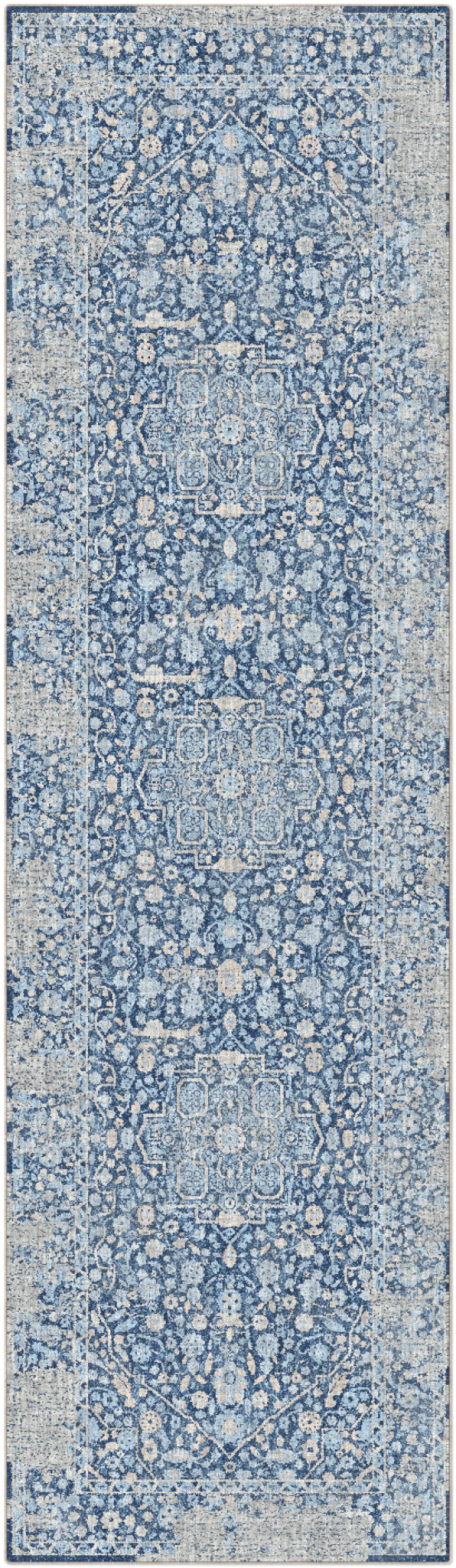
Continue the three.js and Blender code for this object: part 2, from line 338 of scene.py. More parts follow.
def field_unit(p):
    """A quarter of the field between a medallion's centre and the next join."""
    for shift in (0, BRACKET_STEP):
        side_bracket(p, shift)
    p.flower(206, 93, 9.5, MIST, 8, 0.05, rim=1)  # the nearer bracket's flower has no heart
    # beside the medallion
    p.flower(170, 24, 7, BLUSH, 5, 0.2, heart=DENIM, core=0.25)
    p.flower(147, 29, 7, SKY, 4, 0.1, tall=1.2, heart=MIST, core=0.3)
    p.tulip(138, 44, 16, 28, BLUSH)
    p.flower(117, 51, 6.5, BLUSH, 4, 0.15)
    p.curl([(122, 46), (132, 42), (140, 40)], 2.4, SKY)
    p.flower(135, 64, 8, MIST, 4, 0.1, tall=1.3, heart=DENIM, core=0.2)
    p.flower(117, 71, 6.5, SKY, 5, 0.18, heart=DENIM, core=0.25)
    p.curl([(124, 71), (132, 80), (138, 88)], 2.6, SKY)
    p.leaf(136, 92, 144, 75, 7, SKY)
    p.flower(124, 90, 7, MIST, 7, 0.15)
    p.flower(157, 4, 9, MIST, 6, 0.12, tall=1.5)
    p.dot(157, 8)
    p.oval(181, 2, 9, BLUSH, 1.35)
    p.line([(193, 0), (218, 0)], 6, MIST)
    p.leaf(196, 4, 214, 4, 5, CREAM)
    # round the upper step
    p.flower(94, 106, 10, MIST, 7, 0.14)
    p.flower(94, 101, 5.5, CREAM, 5, 0.15, rim=0)
    p.dot(94, 100)
    p.leaf(104, 112, 112, 96, 8, MIST)
    p.leaf(99, 90, 108, 76, 7, MIST)
    p.flower(68, 118, 4, SKY, 5, 0.15)
    p.flower(60, 116, 4.5, SKY, 5, 0.15)
    p.flower(64, 135, 7.5, SKY, 6, 0.12, heart=DENIM, core=0.28)
    p.flower(90, 135, 12, CREAM, 8, 0.12, tall=0.85, heart=DENIM, core=0.36)
    p.flower(129, 117, 14, BLUSH, 12, 0.05, tall=1.15, heart=MIST, core=0.35)
    for u, v in ((124, 124), (134, 124), (124, 110), (134, 110)):
        p.dot(u, v, 1.5)
    p.leaf(112, 139, 129, 147, 7, BLUSH)
    p.leaf(129, 147, 144, 137, 7, BLUSH)
    p.flower(129, 139, 5, CREAM, 5, 0.15)
    # the outer row of flowers
    p.flower(166, 131, 13, MIST, 9, 0.1, heart=DENIM, core=0.14)
    p.curl([(180, 121), (188, 124), (194, 133)], 3, SKY)
    p.flower(170, 141, 6, BLUSH, 5, 0.15)
    p.dot(170, 141)
    p.flower(116, 168, 14, CREAM, 10, 0.08, heart=DENIM, core=0.2)
    p.flower(116, 168, 4.5, MIST, 6, 0.1, rim=0)
    p.flower(150, 148, 7.5, SKY, 8, 0.08, heart=DENIM, core=0.55)
    p.flower(145, 164, 6, CREAM, 5, 0.12)
    p.flower(200, 142, 7, MIST, 6, 0.15)
    p.curl([(152, 170), (158, 162), (164, 154)], 2.6, SKY)
    p.curl([(131, 160), (140, 160), (152, 172), (157, 186)], 3, MIST)
    p.flower(136, 184, 7.5, MIST, 5, 0.1, tall=1.3)
    p.leaf(104, 196, 126, 188, 8, SKY)
    p.flower(124, 231, 17, MIST, 9, 0.08)
    p.flower(124, 231, 8, MIST, 8, 0.1, rim=1)
    p.flower(134, 208, 8, MIST, 6, 0.15)
    p.leaf(110, 222, 98, 238, 8, MIST)
    p.flower(167, 243, 11, MIST, 5, 0.16, tall=1.15)
    p.dot(166, 246, 2.5, DENIM)
    p.flower(158, 253, 5.5, BLUSH, 5, 0.15)
    p.leaf(187, 250, 195, 267, 9, SKY)
    p.curl([(180, 237), (189, 241), (195, 254)], 3, SKY)
    p.oval(171, 271, 11, MIST, 0.75)
    p.curl([(142, 271), (149, 261), (157, 256)], 3, MIST)
    p.leaf(128, 245, 128, 271, 7, SKY)
    p.flower(205, 240, 8, MIST, 6, 0.1)
    p.leaf(202, 255, 219, 256, 7, CREAM)
    p.leaf(201, 122, 219, 122, 10, MIST)
    # on the axis and next to it
    p.leaf(0, 198, 0, 162, 20, BLUSH)
    p.leaf(2, 188, 2, 170, 7, MIST, rim=0)
    p.diamond(22, 196, 9, 12, SKY, DENIM)
    p.leaf(11, 181, 28, 175, 6, SKY)
    p.flower(37, 174, 6.5, MIST, 5, 0.1)
    p.flower(20, 163, 5.5, SKY, 5, 0.12)
    p.flower(28, 152, 6.5, SKY, 5, 0.12)
    p.flower(48, 148, 8.5, MIST, 5, 0.14)
    p.leaf(38, 150, 46, 134, 8, MIST)
    p.leaf(46, 178, 62, 159, 9, BLUSH)
    p.flower(77, 160, 9, BLUSH, 5, 0.12, tall=0.85)
    p.flower(58, 204, 18, MIST, 11, 0.08, tall=1.05)
    for u, v in ((66, 209), (51, 206), (59, 202), (70, 197), (49, 197), (57, 213)):
        p.dot(u, v, 1.9)
    p.flower(91, 199, 7.5, MIST, 7, 0.08, tall=1.15, heart=DENIM, core=0.22)
    p.flower(92, 221, 7.5, MIST, 5, 0.1)
    p.leaf(79, 238, 90, 224, 7, MIST)
    p.flower(55, 240, 9, MIST, 4, 0.1, tall=1.4)
    p.leaf(63, 246, 68, 268, 10, BLUSH)
    p.leaf(36, 262, 53, 246, 9, BLUSH)
    p.leaf(51, 230, 54, 214, 6, MIST)
    p.flower(70, 225, 5, MIST, 5, 0.1)
    p.flower(91, 250, 11, CREAM, 7, 0.12, heart=DENIM, core=0.3)
    p.leaf(94, 246, 101, 258, 6, BLUSH)
    p.curl([(68, 184), (80, 172), (96, 168), (106, 160)], 3, SKY)
    p.flower(82, 181, 5, SKY, 5, 0.15)
    p.flower(96, 183, 5, MIST, 5, 0.15)
    p.curl([(100, 216), (104, 204), (112, 196)], 2.6, SKY)
    # the palmettes across the join
    p.flower(0, 246, 21, BLUSH, 8, 0.12)
    p.flower(0, 248, 9, MIST, 7, 0.12)
    for u, v in ((7, 240), (12, 250), (5, 258), (0, 236)):
        p.dot(u, v, 1.8)
    p.flower(30, 250, 9, MIST, 6, 0.14)
    p.curl([(22, 212), (34, 222), (39, 236), (32, 250)], 4, MIST)
    p.flower(0, 216, 8, SKY, 6, 0.14, heart=DENIM, core=0.3)
    p.flower(16, 224, 5, SKY, 5, 0.15)
    p.leaf(36, 270, 56, 270, 9, MIST)
    medallion(p)


def guard_blocks(p, low, high, first, pitch, upright, inner, outer, length=11.0):
    """A guard stripe: sky blocks with dark corners between slanting cream bars."""
    middle, reach = (inner + outer) / 2, (outer - inner) / 2
    count = int((high - low) / pitch) + 3
    start = math.floor((low - first) / pitch)
    across, along = np.meshgrid(p.u, p.v)
    if not upright:
        across, along = along, across
    inside = (across > inner) & (across < outer) & (along > low) & (along < high)
    q = (across - middle) / reach
    for k in range(start, start + count):
        side = 1 if k % 2 else -1
        offset = np.abs(along - (first + k * pitch))
        cell = pitch / 2 - 3 + 4.6 * side * q
        block = np.minimum(cell, length - 6.5 * side * q)
        here = inside & (offset < pitch / 2 + 4 * side * q)
        p.yarn[here] = CREAM
        p.yarn[here & (offset < cell)] = NAVY
        p.yarn[here & (offset < block)] = MIST if k % 4 == 0 else SKY
        middle_line = here & (offset < 5) & (np.abs(q) < 0.16)
        p.yarn[middle_line] = DENIM


def straight(p, low_u, low_v, high_u, high_v, yarn):
    """Fill a rectangle, from one corner to the other."""
    c = (p.u >= low_u) & (p.u < high_u)
    r = (p.v >= low_v) & (p.v < high_v)
    p.yarn[np.ix_(r, c)] = yarn


def rosette(p, u, v, size=19):
    """The border's large round rosette: eight petals and four dark eyes."""
    p.flower(u, v, size, SKY, 10, 0.035)
    p.flower(u, v, size * 0.74, MIST, 8, 0.1, rim=0)
    for angle in (45, 135, 225, 315):
        turn = math.radians(angle)
        p.oval(u + 9.5 * math.cos(turn), v + 9.5 * math.sin(turn), 4, CREAM, rim=0)
    for du, dv in ((10, 0), (-10, 0), (0, 10), (0, -10)):
        p.oval(u + du, v + dv, 3.1, NAVY, rim=0)
    p.oval(u, v, 4, CREAM, rim=0)


def palmette_link(p, c, flip=1):
    """What lies between two rosettes of the side border, from the palmette at c outwards."""
    def up(v):
        return c + flip * v
    p.leaf(240, c, 262, c, 9, SKY)
    p.flower(273, up(-9), 6.5, BLUSH, 6, 0.12)
    p.flower(295, c, 6, CREAM, 5, 0.12)
    p.leaf(285, c, 306, c, 9, BLUSH)
    for way in (-1, 1):
        p.flower(253, up(16 * way), 7.5, MIST, 6, 0.1, heart=CREAM, core=0.4)
        p.flower(272, up(9 * way), 6.5, MIST, 7, 0.12)
        p.flower(242, up(30 * way), 6.5, CREAM, 6, 0.08)
        p.flower(277, up(31 * way), 8, CREAM, 6, 0.1)
        p.leaf(277, up(40 * way), 278, up(20 * way), 8, MIST, rim=0)
        p.leaf(247, up(35 * way), 253, up(47 * way), 6, BLUSH)
        p.leaf(262, up(28 * way), 260, up(52 * way), 9, MIST)
        p.flower(291, up(45 * way), 7, CREAM, 6, 0.1, heart=BLUSH, core=0.3)
        p.leaf(296, up(52 * way), 304, up(66 * way), 8, SKY)
        p.leaf(240, up(62 * way), 252, up(55 * way), 8, SKY)
        p.dot(247, up(60 * way), 1.6)
        p.flower(273, up(58 * way), 6, CREAM, 5, 0.14)
        p.oval(285, up(67 * way), 6, CREAM, 0.9)
        p.oval(254, up(67 * way), 6, BLUSH, 0.75)
        p.oval(245, up(79 * way), 6, BLUSH, 0.55)
        p.leaf(298, up(80 * way), 306, up(70 * way), 6, SKY)
        p.leaf(300, up(20 * way), 306, up(42 * way), 8, SKY)
        p.flower(288, up(18 * way), 4, SKY, 5, 0.15)


def rosette_foot(p, c):
    """The motifs on a side rosette's lower side, down to the join of the repeats."""
    p.ring(302, c, 6.5, CREAM, DENIM, 3.2)
    p.oval(303, c - 15, 5.5, CREAM)
    p.leaf(284, c - 20, 296, c - 27, 6, CREAM)
    p.flower(273, c - 34, 6, CREAM, 5, 0.15)
    p.flower(273, c - 47, 4, BLUSH, 5, 0.1)
    p.flower(300, c - 34, 8, SKY, 6, 0.1, heart=DENIM, core=0.3)
    p.flower(256, c - 49, 7, CREAM, 5, 0.15)
    p.oval(269, c - 63, 5.5, CREAM, 1.5)
    p.leaf(250, c - 60, 262, c - 74, 8, SKY)
    p.flower(248, c - 26, 7, MIST, 6, 0.15)
    p.flower(294, c - 78, 6.5, SKY, 6, 0.1)
    p.leaf(279, c - 56, 288, c - 72, 7, MIST)
    p.flower(245, c - 6, 5, MIST, 5, 0.15)
    p.leaf(242, c - 40, 250, c - 60, 7, SKY)


def rosette_head(p, c):
    """The motifs over the upper side rosette, up to the join with the next repeat."""
    p.ring(244, c, 6.5, CREAM, DENIM, 3.2)
    p.oval(262, c + 25, 6, BLUSH, 0.75)
    p.flower(275, c + 35, 8.5, CREAM, 6, 0.05, heart=BLUSH)
    p.curl([(243, c + 22), (250, c + 36), (264, c + 38)], 3, SKY)
    p.flower(255, c + 47, 7, CREAM, 4, 0.1, tall=1.25, heart=BLUSH)
    p.curl([(245, c + 40), (250, c + 56), (262, c + 58)], 3, SKY)
    p.leaf(288, c + 60, 298, c + 44, 8, MIST)
    p.flower(300, c + 24, 7, MIST, 6, 0.12)
    p.flower(302, c, 6, MIST, 6, 0.1, heart=DENIM, core=0.3)
    p.leaf(270, c + 60, 280, c + 50, 7, SKY)
    p.flower(297, c + 40, 5, CREAM, 5, 0.1)


def side_border(p):
    """The right side's main border and outer guard; the left side's is this upside down."""
    for c in (25, 211, -208):
        rosette(p, 275, c)
    rosette_head(p, 211)
    palmette_link(p, -115)
    straight(p, 237, -48, 315, 4, DENIM)
    rosette_foot(p, 25)
    rosette_foot(p, -208)
    palmette_link(p, 118)
    guard_blocks(p, -HALF - 2, HALF + 2, 1.7, 33.3, True, *OUTER_GUARD, length=9.0)


def end_field(p):
    """The field's end: the apex line, the corner and the flowers round them."""
    apex = [(0, 488), (24, 460), (33, 457), (60, 427), (69, 425), (99, 399), (132, 375), (133, 363),
            (152, 363), (168, 345), (182, 330), (185, 315), (184, 299), (190, 283), (199, 270),
            (202, 255)]
    # inside the apex
    p.flower(0, 374, 25, MIST, 9, 0.1, tall=1.25)
    for u, v in ((12, 393), (19, 377), (18, 358), (14, 400)):
        p.leaf(u - 7, v - 6, u + 7, v + 5, 9, BLUSH, rim=0)
    p.ring(0, 366, 9, DENIM, MIST, 2.6, tall=1.2)
    p.leaf(0, 276, 21, 286, 12, BLUSH)
    p.leaf(-4, 274, 20, 268, 8, CREAM)
    p.flower(0, 278, 8, CREAM, 5, 0.15)
    p.leaf(0, 288, 0, 310, 11, BLUSH)
    p.flower(46, 281, 12, CREAM, 9, 0.07)
    p.dot(41, 280)
    p.dot(48, 278)
    p.leaf(26, 308, 28, 290, 7, SKY)
    p.leaf(21, 292, 33, 282, 5, MIST)
    p.leaf(36, 364, 29, 326, 11, BLUSH)
    p.dot(30, 338, 2)
    p.flower(57, 316, 18, MIST, 11, 0.08, tall=1.05)
    for u, v in ((56, 327), (50, 321), (59, 316), (66, 322), (52, 310), (64, 309)):
        p.dot(u, v, 1.9)
    p.leaf(63, 360, 75, 389, 12, BLUSH)
    p.leaf(36, 376, 55, 361, 9, BLUSH)
    p.flower(56, 348, 9, MIST, 4, 0.1, tall=1.35)
    p.leaf(72, 346, 66, 330, 6, BLUSH)
    p.flower(46, 399, 13, CREAM, 9, 0.06, tall=1.05)
    for u, v in ((41, 396), (47, 394), (52, 405)):
        p.dot(u, v, 1.8)
    p.curl([(60, 392), (68, 393), (74, 400)], 3, SKY)
    p.flower(90, 313, 7.5, MIST, 7, 0.08, tall=1.2, heart=DENIM, core=0.22)
    p.flower(91, 334, 6.5, SKY, 4, 0.1)
    p.leaf(79, 352, 89, 339, 7, MIST)
    p.flower(77, 277, 8, MIST, 6, 0.15)
    p.flower(94, 297, 6, SKY, 5, 0.15)
    p.flower(86, 368, 6.5, MIST, 6, 0.1, heart=BLUSH)
    p.flower(102, 366, 8, BLUSH, 6, 0.12, heart=DENIM, core=0.25)
    p.flower(97, 383, 7, MIST, 4, 0.12)
    p.flower(115, 374, 6.5, MIST, 5, 0.12)
    p.flower(116, 355, 6.5, MIST, 5, 0.12)
    p.curl([(101, 356), (104, 344), (112, 340)], 3, MIST)
    p.flower(114, 281, 14, CREAM, 10, 0.08, heart=DENIM, core=0.22)
    p.flower(114, 281, 5, MIST, 6, 0.1, rim=0)
    p.curl([(102, 322), (110, 309), (124, 305), (140, 300)], 5, SKY)
    p.flower(136, 328, 15, SKY, 8, 0.1)
    p.oval(136, 328, 6, MIST, rim=0)
    for u, v in ((127, 337), (139, 337), (129, 328), (143, 328), (139, 319), (130, 319)):
        p.dot(u, v, 1.7)
    p.leaf(142, 348, 148, 360, 5, SKY)
    p.leaf(156, 340, 170, 320, 10, MIST)
    p.flower(160, 336, 5, CREAM, 5, 0.1)
    p.flower(172, 321, 5, CREAM, 5, 0.1)
    p.flower(170, 307, 7.5, BLUSH, 5, 0.12)
    p.curl([(152, 311), (158, 317), (166, 312)], 3, MIST)
    p.flower(151, 305, 6.5, MIST, 6, 0.1, heart=NAVY, core=0.32)
    p.leaf(141, 280, 178, 294, 14, SKY)
    p.dot(150, 281)
    p.curl([(120, 273), (135, 271), (146, 273), (160, 281)], 3, MIST)
    p.leaf(158, 260, 188, 281, 11, MIST)
    p.flower(0, 440, 25, SKY, 9, 0.1, tall=0.95)
    p.flower(0, 440, 14, MIST, 9, 0.12)
    p.flower(0, 440, 10, BLUSH, 7, 0.1, tall=1.1, rim=0)
    for u, v in ((8, 451), (12, 440), (17, 438), (8, 431), (9, 421)):
        p.dot(u, v, 1.9)
    p.leaf(27, 451, 42, 429, 11, SKY)
    p.dot(36, 435, 2, DENIM)
    p.oval(45, 422, 9.5, SKY, 0.55)
    p.leaf(29, 425, 26, 395, 10, MIST)
    p.leaf(6, 420, 15, 405, 6, SKY)
    p.oval(66, 416, 4.5, SKY, 0.5)
    p.flower(74, 407, 7, CREAM, 6, 0.05, heart=BLUSH)
    p.leaf(79, 410, 88, 392, 8, MIST)
    p.flower(15, 466, 6, SKY, 5, 0.15)
    # the round rosette that only the ends have, and its neighbours
    rosette(p, 0, 249)
    p.flower(30, 246, 6, SKY, 5, 0.14)
    p.leaf(63, 246, 67, 268, 10, BLUSH)
    p.flower(55, 238, 10, MIST, 4, 0.12, tall=1.3)
    p.leaf(42, 262, 52, 250, 8, BLUSH)
    p.flower(91, 250, 11, CREAM, 7, 0.12, heart=DENIM, core=0.3)
    p.flower(124, 231, 17, MIST, 9, 0.08)
    p.flower(167, 243, 11, MIST, 5, 0.16, tall=1.15)
    p.dot(166, 246, 2.5, DENIM)
    p.flower(158, 253, 5.5, BLUSH, 5, 0.15)
    p.flower(207, 240, 8, MIST, 6, 0.1)
    p.leaf(187, 250, 195, 262, 9, SKY)
    # outside the apex
    p.flower(0, 502, 9, BLUSH, 7, 0.1, heart=DENIM, core=0.5)
    p.flower(21, 484, 6.5, MIST, 4, 0.2, tall=1.3)
    p.curl([(27, 490), (33, 498), (44, 498), (56, 492)], 3, MIST)
    p.oval(36, 498, 7, MIST, 0.6)
    p.leaf(31, 469, 46, 489, 9, BLUSH)
    p.curl([(44, 486), (52, 489), (62, 487)], 3, MIST)
    p.dot(42, 483)
    p.flower(53, 471, 5.5, BLUSH, 5, 0.15)
    p.flower(46, 459, 6.5, BLUSH, 5, 0.2)
    p.curl([(60, 480), (58, 464), (57, 450)], 3, MIST)
    p.flower(60, 443, 8, CREAM, 6, 0.05, heart=BLUSH)
    p.leaf(55, 483, 106, 487, 22, MIST)
    p.leaf(58, 480, 63, 505, 9, MIST)
    p.leaf(62, 485, 86, 485, 8, BLUSH, rim=0)
    p.curl([(98, 486), (107, 480), (116, 478)], 3, MIST)
    p.oval(77, 463, 6, CREAM, 1.3)
    p.diamond(98, 465, 8, 12, SKY)
    p.flower(105, 452, 7, SKY, 4, 0.1, heart=DENIM, core=0.2)
    p.flower(83, 434, 8, SKY, 5, 0.1, tall=1.2, heart=DENIM, core=0.3)
    p.leaf(84, 442, 89, 453, 6, SKY)
    p.curl([(88, 424), (98, 418), (108, 424)], 3, SKY)
    p.leaf(96, 422, 100, 436, 5, SKY)
    p.flower(106, 411, 7, SKY, 6, 0.1)
    p.flower(122, 433, 17, BLUSH, 11, 0.05, heart=NAVY, core=0.2)
    p.dot_ring(122, 433, 11.5, 10, 10, 1.8)
    p.flower(20, 514, 13, MIST, 7, 0.12, tall=0.6)
    p.flower(53, 511, 6.5, SKY, 5, 0.12)
    p.dot(52, 510)
    p.leaf(42, 520, 47, 504, 6, MIST)
    p.flower(86, 514, 16, MIST, 9, 0.1, tall=0.6)
    p.flower(88, 512, 7, CREAM, 6, 0.12, tall=0.8, rim=0)
    p.diamond(106, 498, 7, 9, MIST)
    # the feathered leaf and the blossoms outside the stepped line
    p.flower(134, 388, 7, CREAM, 6, 0.05, heart=BLUSH)
    p.flower(142, 370, 5, MIST, 6, 0.05, heart=DENIM, core=0.3)
    p.flower(153, 404, 9, BLUSH, 3, 0.1, tall=0.8)
    p.line([(153, 402), (154, 388)], 7, BLUSH, rim=0)
    p.leaf(150, 398, 178, 356, 15, BLUSH)
    for t in (0.12, 0.36, 0.6):
        u, v = 154 + 20 * t, 392 - 32 * t
        p.leaf(u, v, u + 17, v - 2, 8, BLUSH)
        p.leaf(u, v, u - 3, v - 16, 7, BLUSH)
    p.line([(153, 389), (162, 374), (173, 361), (181, 360)], 1.6, NAVY, rim=0)
    p.diamond(121, 401, 7, 10, SKY)
    p.flower(134, 411, 7, SKY, 5, 0.1)
    p.flower(184, 399, 12.5, SKY, 8, 0.1, heart=DENIM, core=0.34)
    p.curl([(179, 390), (191, 383), (206, 382), (213, 384), (219, 392)], 3.6, SKY)
    p.leaf(183, 373, 202, 366, 12, MIST)
    p.flower(210, 361, 8, MIST, 6, 0.1, heart=DENIM, core=0.25)
    p.flower(205, 394, 7, SKY, 6, 0.12)
    p.curl([(172, 359), (184, 358), (190, 352), (200, 343)], 3.2, CREAM)
    p.flower(180, 347, 6, CREAM, 5, 0.12)
    p.leaf(188, 350, 189, 330, 5, MIST)
    p.leaf(193, 348, 206, 340, 8, MIST)
    p.flower(194, 328, 5.5, CREAM, 6, 0.05, heart=BLUSH)
    p.diamond(204, 314, 5, 7, BLUSH)
    p.flower(193, 307, 5.5, BLUSH, 4, 0.15)
    p.flower(212, 297, 5.5, BLUSH, 5, 0.12)
    p.leaf(203, 290, 210, 262, 11, CREAM)
    p.flower(198, 291, 6, SKY, 6, 0.1)
    p.flower(211, 335, 9, MIST, 7, 0.12)
    p.flower(156, 432, 7.5, MIST, 6, 0.1)
    p.dot(155, 428)
    p.flower(171, 436, 6, SKY, 6, 0.15)
    p.flower(185, 428, 7.5, MIST, 6, 0.08)
    p.flower(202, 412, 7.5, CREAM, 6, 0.08, heart=BLUSH)
    p.curl([(139, 429), (150, 418), (164, 418), (173, 407)], 3, SKY)
    p.flower(171, 418, 6, MIST, 5, 0.15)
    p.dot(171, 414)
    p.flower(212, 437, 9, SKY, 7, 0.1, tall=1.2)
    # the corner
    p.flower(123, 477, 12, BLUSH, 7, 0.12, tall=1.45)
    p.oval(123, 476, 5, DENIM)
    p.oval(122, 480, 2.5, SKY, rim=0)
    p.flower(131, 456, 7, SKY, 5, 0.15)
    p.flower(158, 461, 15, SKY, 12, 0.03)
    p.flower(161, 459, 7, MIST, 6, 0.1, rim=0)
    for u, v in ((158, 469), (165, 465), (154, 461)):
        p.dot(u, v, 2)
    p.flower(154, 492, 8, SKY, 7, 0.08)
    p.dot(152, 488)
    p.flower(179, 495, 11, MIST, 7, 0.1, tall=0.9, heart=DENIM, core=0.3)
    p.leaf(161, 510, 172, 496, 7, MIST)
    p.leaf(134, 514, 144, 496, 10, SKY)
    p.flower(151, 518, 9, BLUSH, 6, 0.12, tall=0.9)
    p.leaf(168, 516, 186, 512, 8, MIST)
    p.curl([(196, 520), (206, 511), (221, 500)], 7, BLUSH)
    p.tulip(183, 464, 17, 105, BLUSH)
    p.flower(197, 480, 7, BLUSH, 5, 0.2)
    p.curl([(186, 476), (194, 486), (206, 500)], 3, MIST)
    p.flower(194, 454, 8.5, BLUSH, 6, 0.1)
    p.leaf(190, 450, 200, 459, 3, NAVY, rim=0)
    p.flower(177, 452, 5.5, BLUSH, 5, 0.12)
    p.flower(208, 450, 10, SKY, 6, 0.12, tall=1.2)
    p.curl([(200, 470), (210, 466), (218, 460)], 3, SKY)
    p.leaf(212, 500, 214, 470, 8, MIST)
    p.line(apex, 4, CREAM)
    p.line([(114, 520), (142, 488), (142, 444), (186, 444), (205, 420), (220, 406)], 3.4, CREAM)
    p.line([(120, 508), (122, 494)], 2.4, SKY)


def end_border(p):
    """The main border across the end, and the stretch of side border up to the corner."""
    for u in (92, 276):
        rosette(p, u, 579)
    rosette(p, 275, 393)
    # the two palmettes across the end: on the axis and half-way to the corner
    p.flower(0, 580, 14, MIST, 8, 0.12, heart=NAVY, core=0.25)
    p.flower(0, 551, 7, BLUSH, 6, 0.1)
    p.flower(0, 608, 7, MIST, 6, 0.1)
    p.flower(182, 583, 15, CREAM, 8, 0.14, tall=1.05, heart=NAVY, core=0.22)
    p.leaf(182, 572, 182, 542, 10, MIST)
    p.dot(182, 549, 2)
    p.dot(181, 566, 1.6)
    p.flower(182, 608, 7.5, MIST, 6, 0.12)
    p.flower(182, 609, 4, CREAM, 5, 0.1, rim=0)
    for centre in (0, 182):
        for way in ((1,) if centre == 0 else (-1, 1)):
            def across(d):
                return centre + way * d
            p.flower(across(29), 584, 8.5, CREAM, 6, 0.14)
            p.flower(across(17), 557, 6.5, SKY, 6, 0.1)
            p.leaf(across(26), 560, across(40), 572, 7, MIST)
            p.flower(across(26), 552, 8, MIST, 6, 0.12)
            p.leaf(across(25), 604, across(35), 588, 7, MIST)
            p.flower(across(29), 612, 6, MIST, 6, 0.12)
            p.flower(across(46), 600, 8.5, CREAM, 6, 0.1)
            p.flower(across(57), 578, 8, CREAM, 6, 0.12, heart=BLUSH)
            p.leaf(across(42), 566, across(56), 560, 7, CREAM)
            p.flower(across(57), 553, 9, SKY, 7, 0.12, heart=DENIM, core=0.3)
            p.leaf(across(58), 612, across(70), 602, 7, SKY)
    for u in (92, 276):
        p.flower(u - 1, 550, 7.5, CREAM, 6, 0.08, heart=NAVY, core=0.3)
        p.flower(u + 14, 552, 5.5, CREAM, 5, 0.12)
        p.flower(u - 12, 608, 6, MIST, 5, 0.12)
        p.flower(u + 10, 608, 6, MIST, 5, 0.12)
    p.flower(303, 583, 7.5, CREAM, 6, 0.08, heart=BLUSH)
    p.oval(303, 597, 5, BLUSH, 0.7)
    p.oval(303, 610, 5, BLUSH, 0.8)
    p.flower(303, 562, 7.5, SKY, 6, 0.1)
    p.flower(287, 558, 6.5, CREAM, 5, 0.12)
    p.flower(252, 562, 7, MIST, 6, 0.12)
    # the side border up to the corner
    p.flower(273, 300, 15, MIST, 9, 0.1, heart=NAVY, core=0.24)
    p.dot_ring(273, 300, 9.5, 6, 20, 1.7)
    p.leaf(258, 270, 260, 252, 8, SKY)
    p.oval(270, 272, 6, CREAM, 1.3)
    p.flower(245, 300, 6, CREAM, 5, 0.1)
    p.flower(270, 331, 8.5, MIST, 6, 0.12)
    p.flower(257, 348, 7.5, CREAM, 6, 0.1, heart=BLUSH)
    p.flower(275, 361, 7.5, CREAM, 6, 0.1, heart=BLUSH)
    p.leaf(262, 376, 264, 360, 6, BLUSH)
    p.flower(286, 344, 7, MIST, 5, 0.12)
    p.flower(295, 318, 7.5, SKY, 6, 0.12)
    p.flower(294, 368, 6, BLUSH, 5, 0.12)
    p.flower(246, 395, 7, CREAM, 6, 0.06, heart=NAVY, core=0.35)
    p.flower(296, 283, 7, MIST, 6, 0.12)
    p.leaf(241, 362, 252, 380, 8, SKY)
    p.flower(243, 331, 7, MIST, 6, 0.12)
    p.flower(298, 300, 6, SKY, 6, 0.12)
    for shift in (450, 508):
        p.flower(256, shift + 20, 8, MIST, 6, 0.1)
        p.flower(279, shift + 10, 8, CREAM, 6, 0.1)
        p.leaf(244, shift + 12, 250, shift - 4, 8, CREAM)
        p.leaf(262, shift - 4, 274, shift - 20, 9, MIST)
        p.flower(296, shift - 8, 7, SKY, 6, 0.12)
        p.flower(270, shift - 20, 6, BLUSH, 6, 0.1)
        p.flower(295, shift + 24, 7, MIST, 6, 0.12)
        p.flower(246, shift - 16, 6, SKY, 6, 0.1)
    p.flower(256, 421, 7, CREAM, 5, 0.12)
    p.flower(245, 410, 6, CREAM, 5, 0.12)


def draw_field():
    """The field's paper, from a medallion's middle to halfway to the next one."""
    p = Paper(0, HALF, DENIM)
    field_unit(p)
    fill_gaps(p, (0, 132, 0, 126), 1, (5.5, 4.5, 3.6), gap=1.5, tries=3500, rim=1.4)
    fill_gaps(p, (0, 219, 0, HALF), 2, (7, 5.5, 4.4), gap=1.9, tries=3500)
    straight(p, FIELD_EDGE - 1.0, -SPARE, GUARD_EDGE + GUARD_LINE, FAR, CREAM)
    guard_blocks(p, -SPARE, HALF + SPARE, -BLOCK / 2, BLOCK, True,
                 FIELD_EDGE + GUARD_LINE, GUARD_EDGE - GUARD_LINE)
    return p


def draw_between(field):
    """The field where it runs from one medallion to the next. Above a medallion it has a tall pale
    flower that reaches past the join, and below it a blue one, so this paper isn't mirrored."""
    p = Paper(-HALF, HALF, DENIM)
    p.yarn = lookup(field, p.u[None, :], np.abs(p.v)[:, None])
    p.oval(0, -242, 25, DENIM, tall=1.25, rim=0)
    p.flower(0, -226, 22, SKY, 9, 0.1, tall=1.05, dots=9, rim=2.2)
    p.flower(0, -226, 9, CREAM, 7, 0.14, rim=0)
    p.leaf(0, -252, 0, -262, 5, MIST)
    for v in (245, 245 - PERIOD):
        p.flower(0, v, 21, BLUSH, 9, 0.08, tall=1.35, dots=9, rim=2.2)
        p.flower(0, v, 8, MIST, 7, 0.12, tall=1.4, rim=0)
    return p


def draw_side():
    """The side border's paper, over one period."""
    p = Paper(-HALF, HALF, DENIM)
    side_border(p)
    fill_gaps(p, (238, 314, -HALF, HALF), 3, (8, 6.5, 5.2, 4, 3), gap=1.3, tries=4000)
    return p


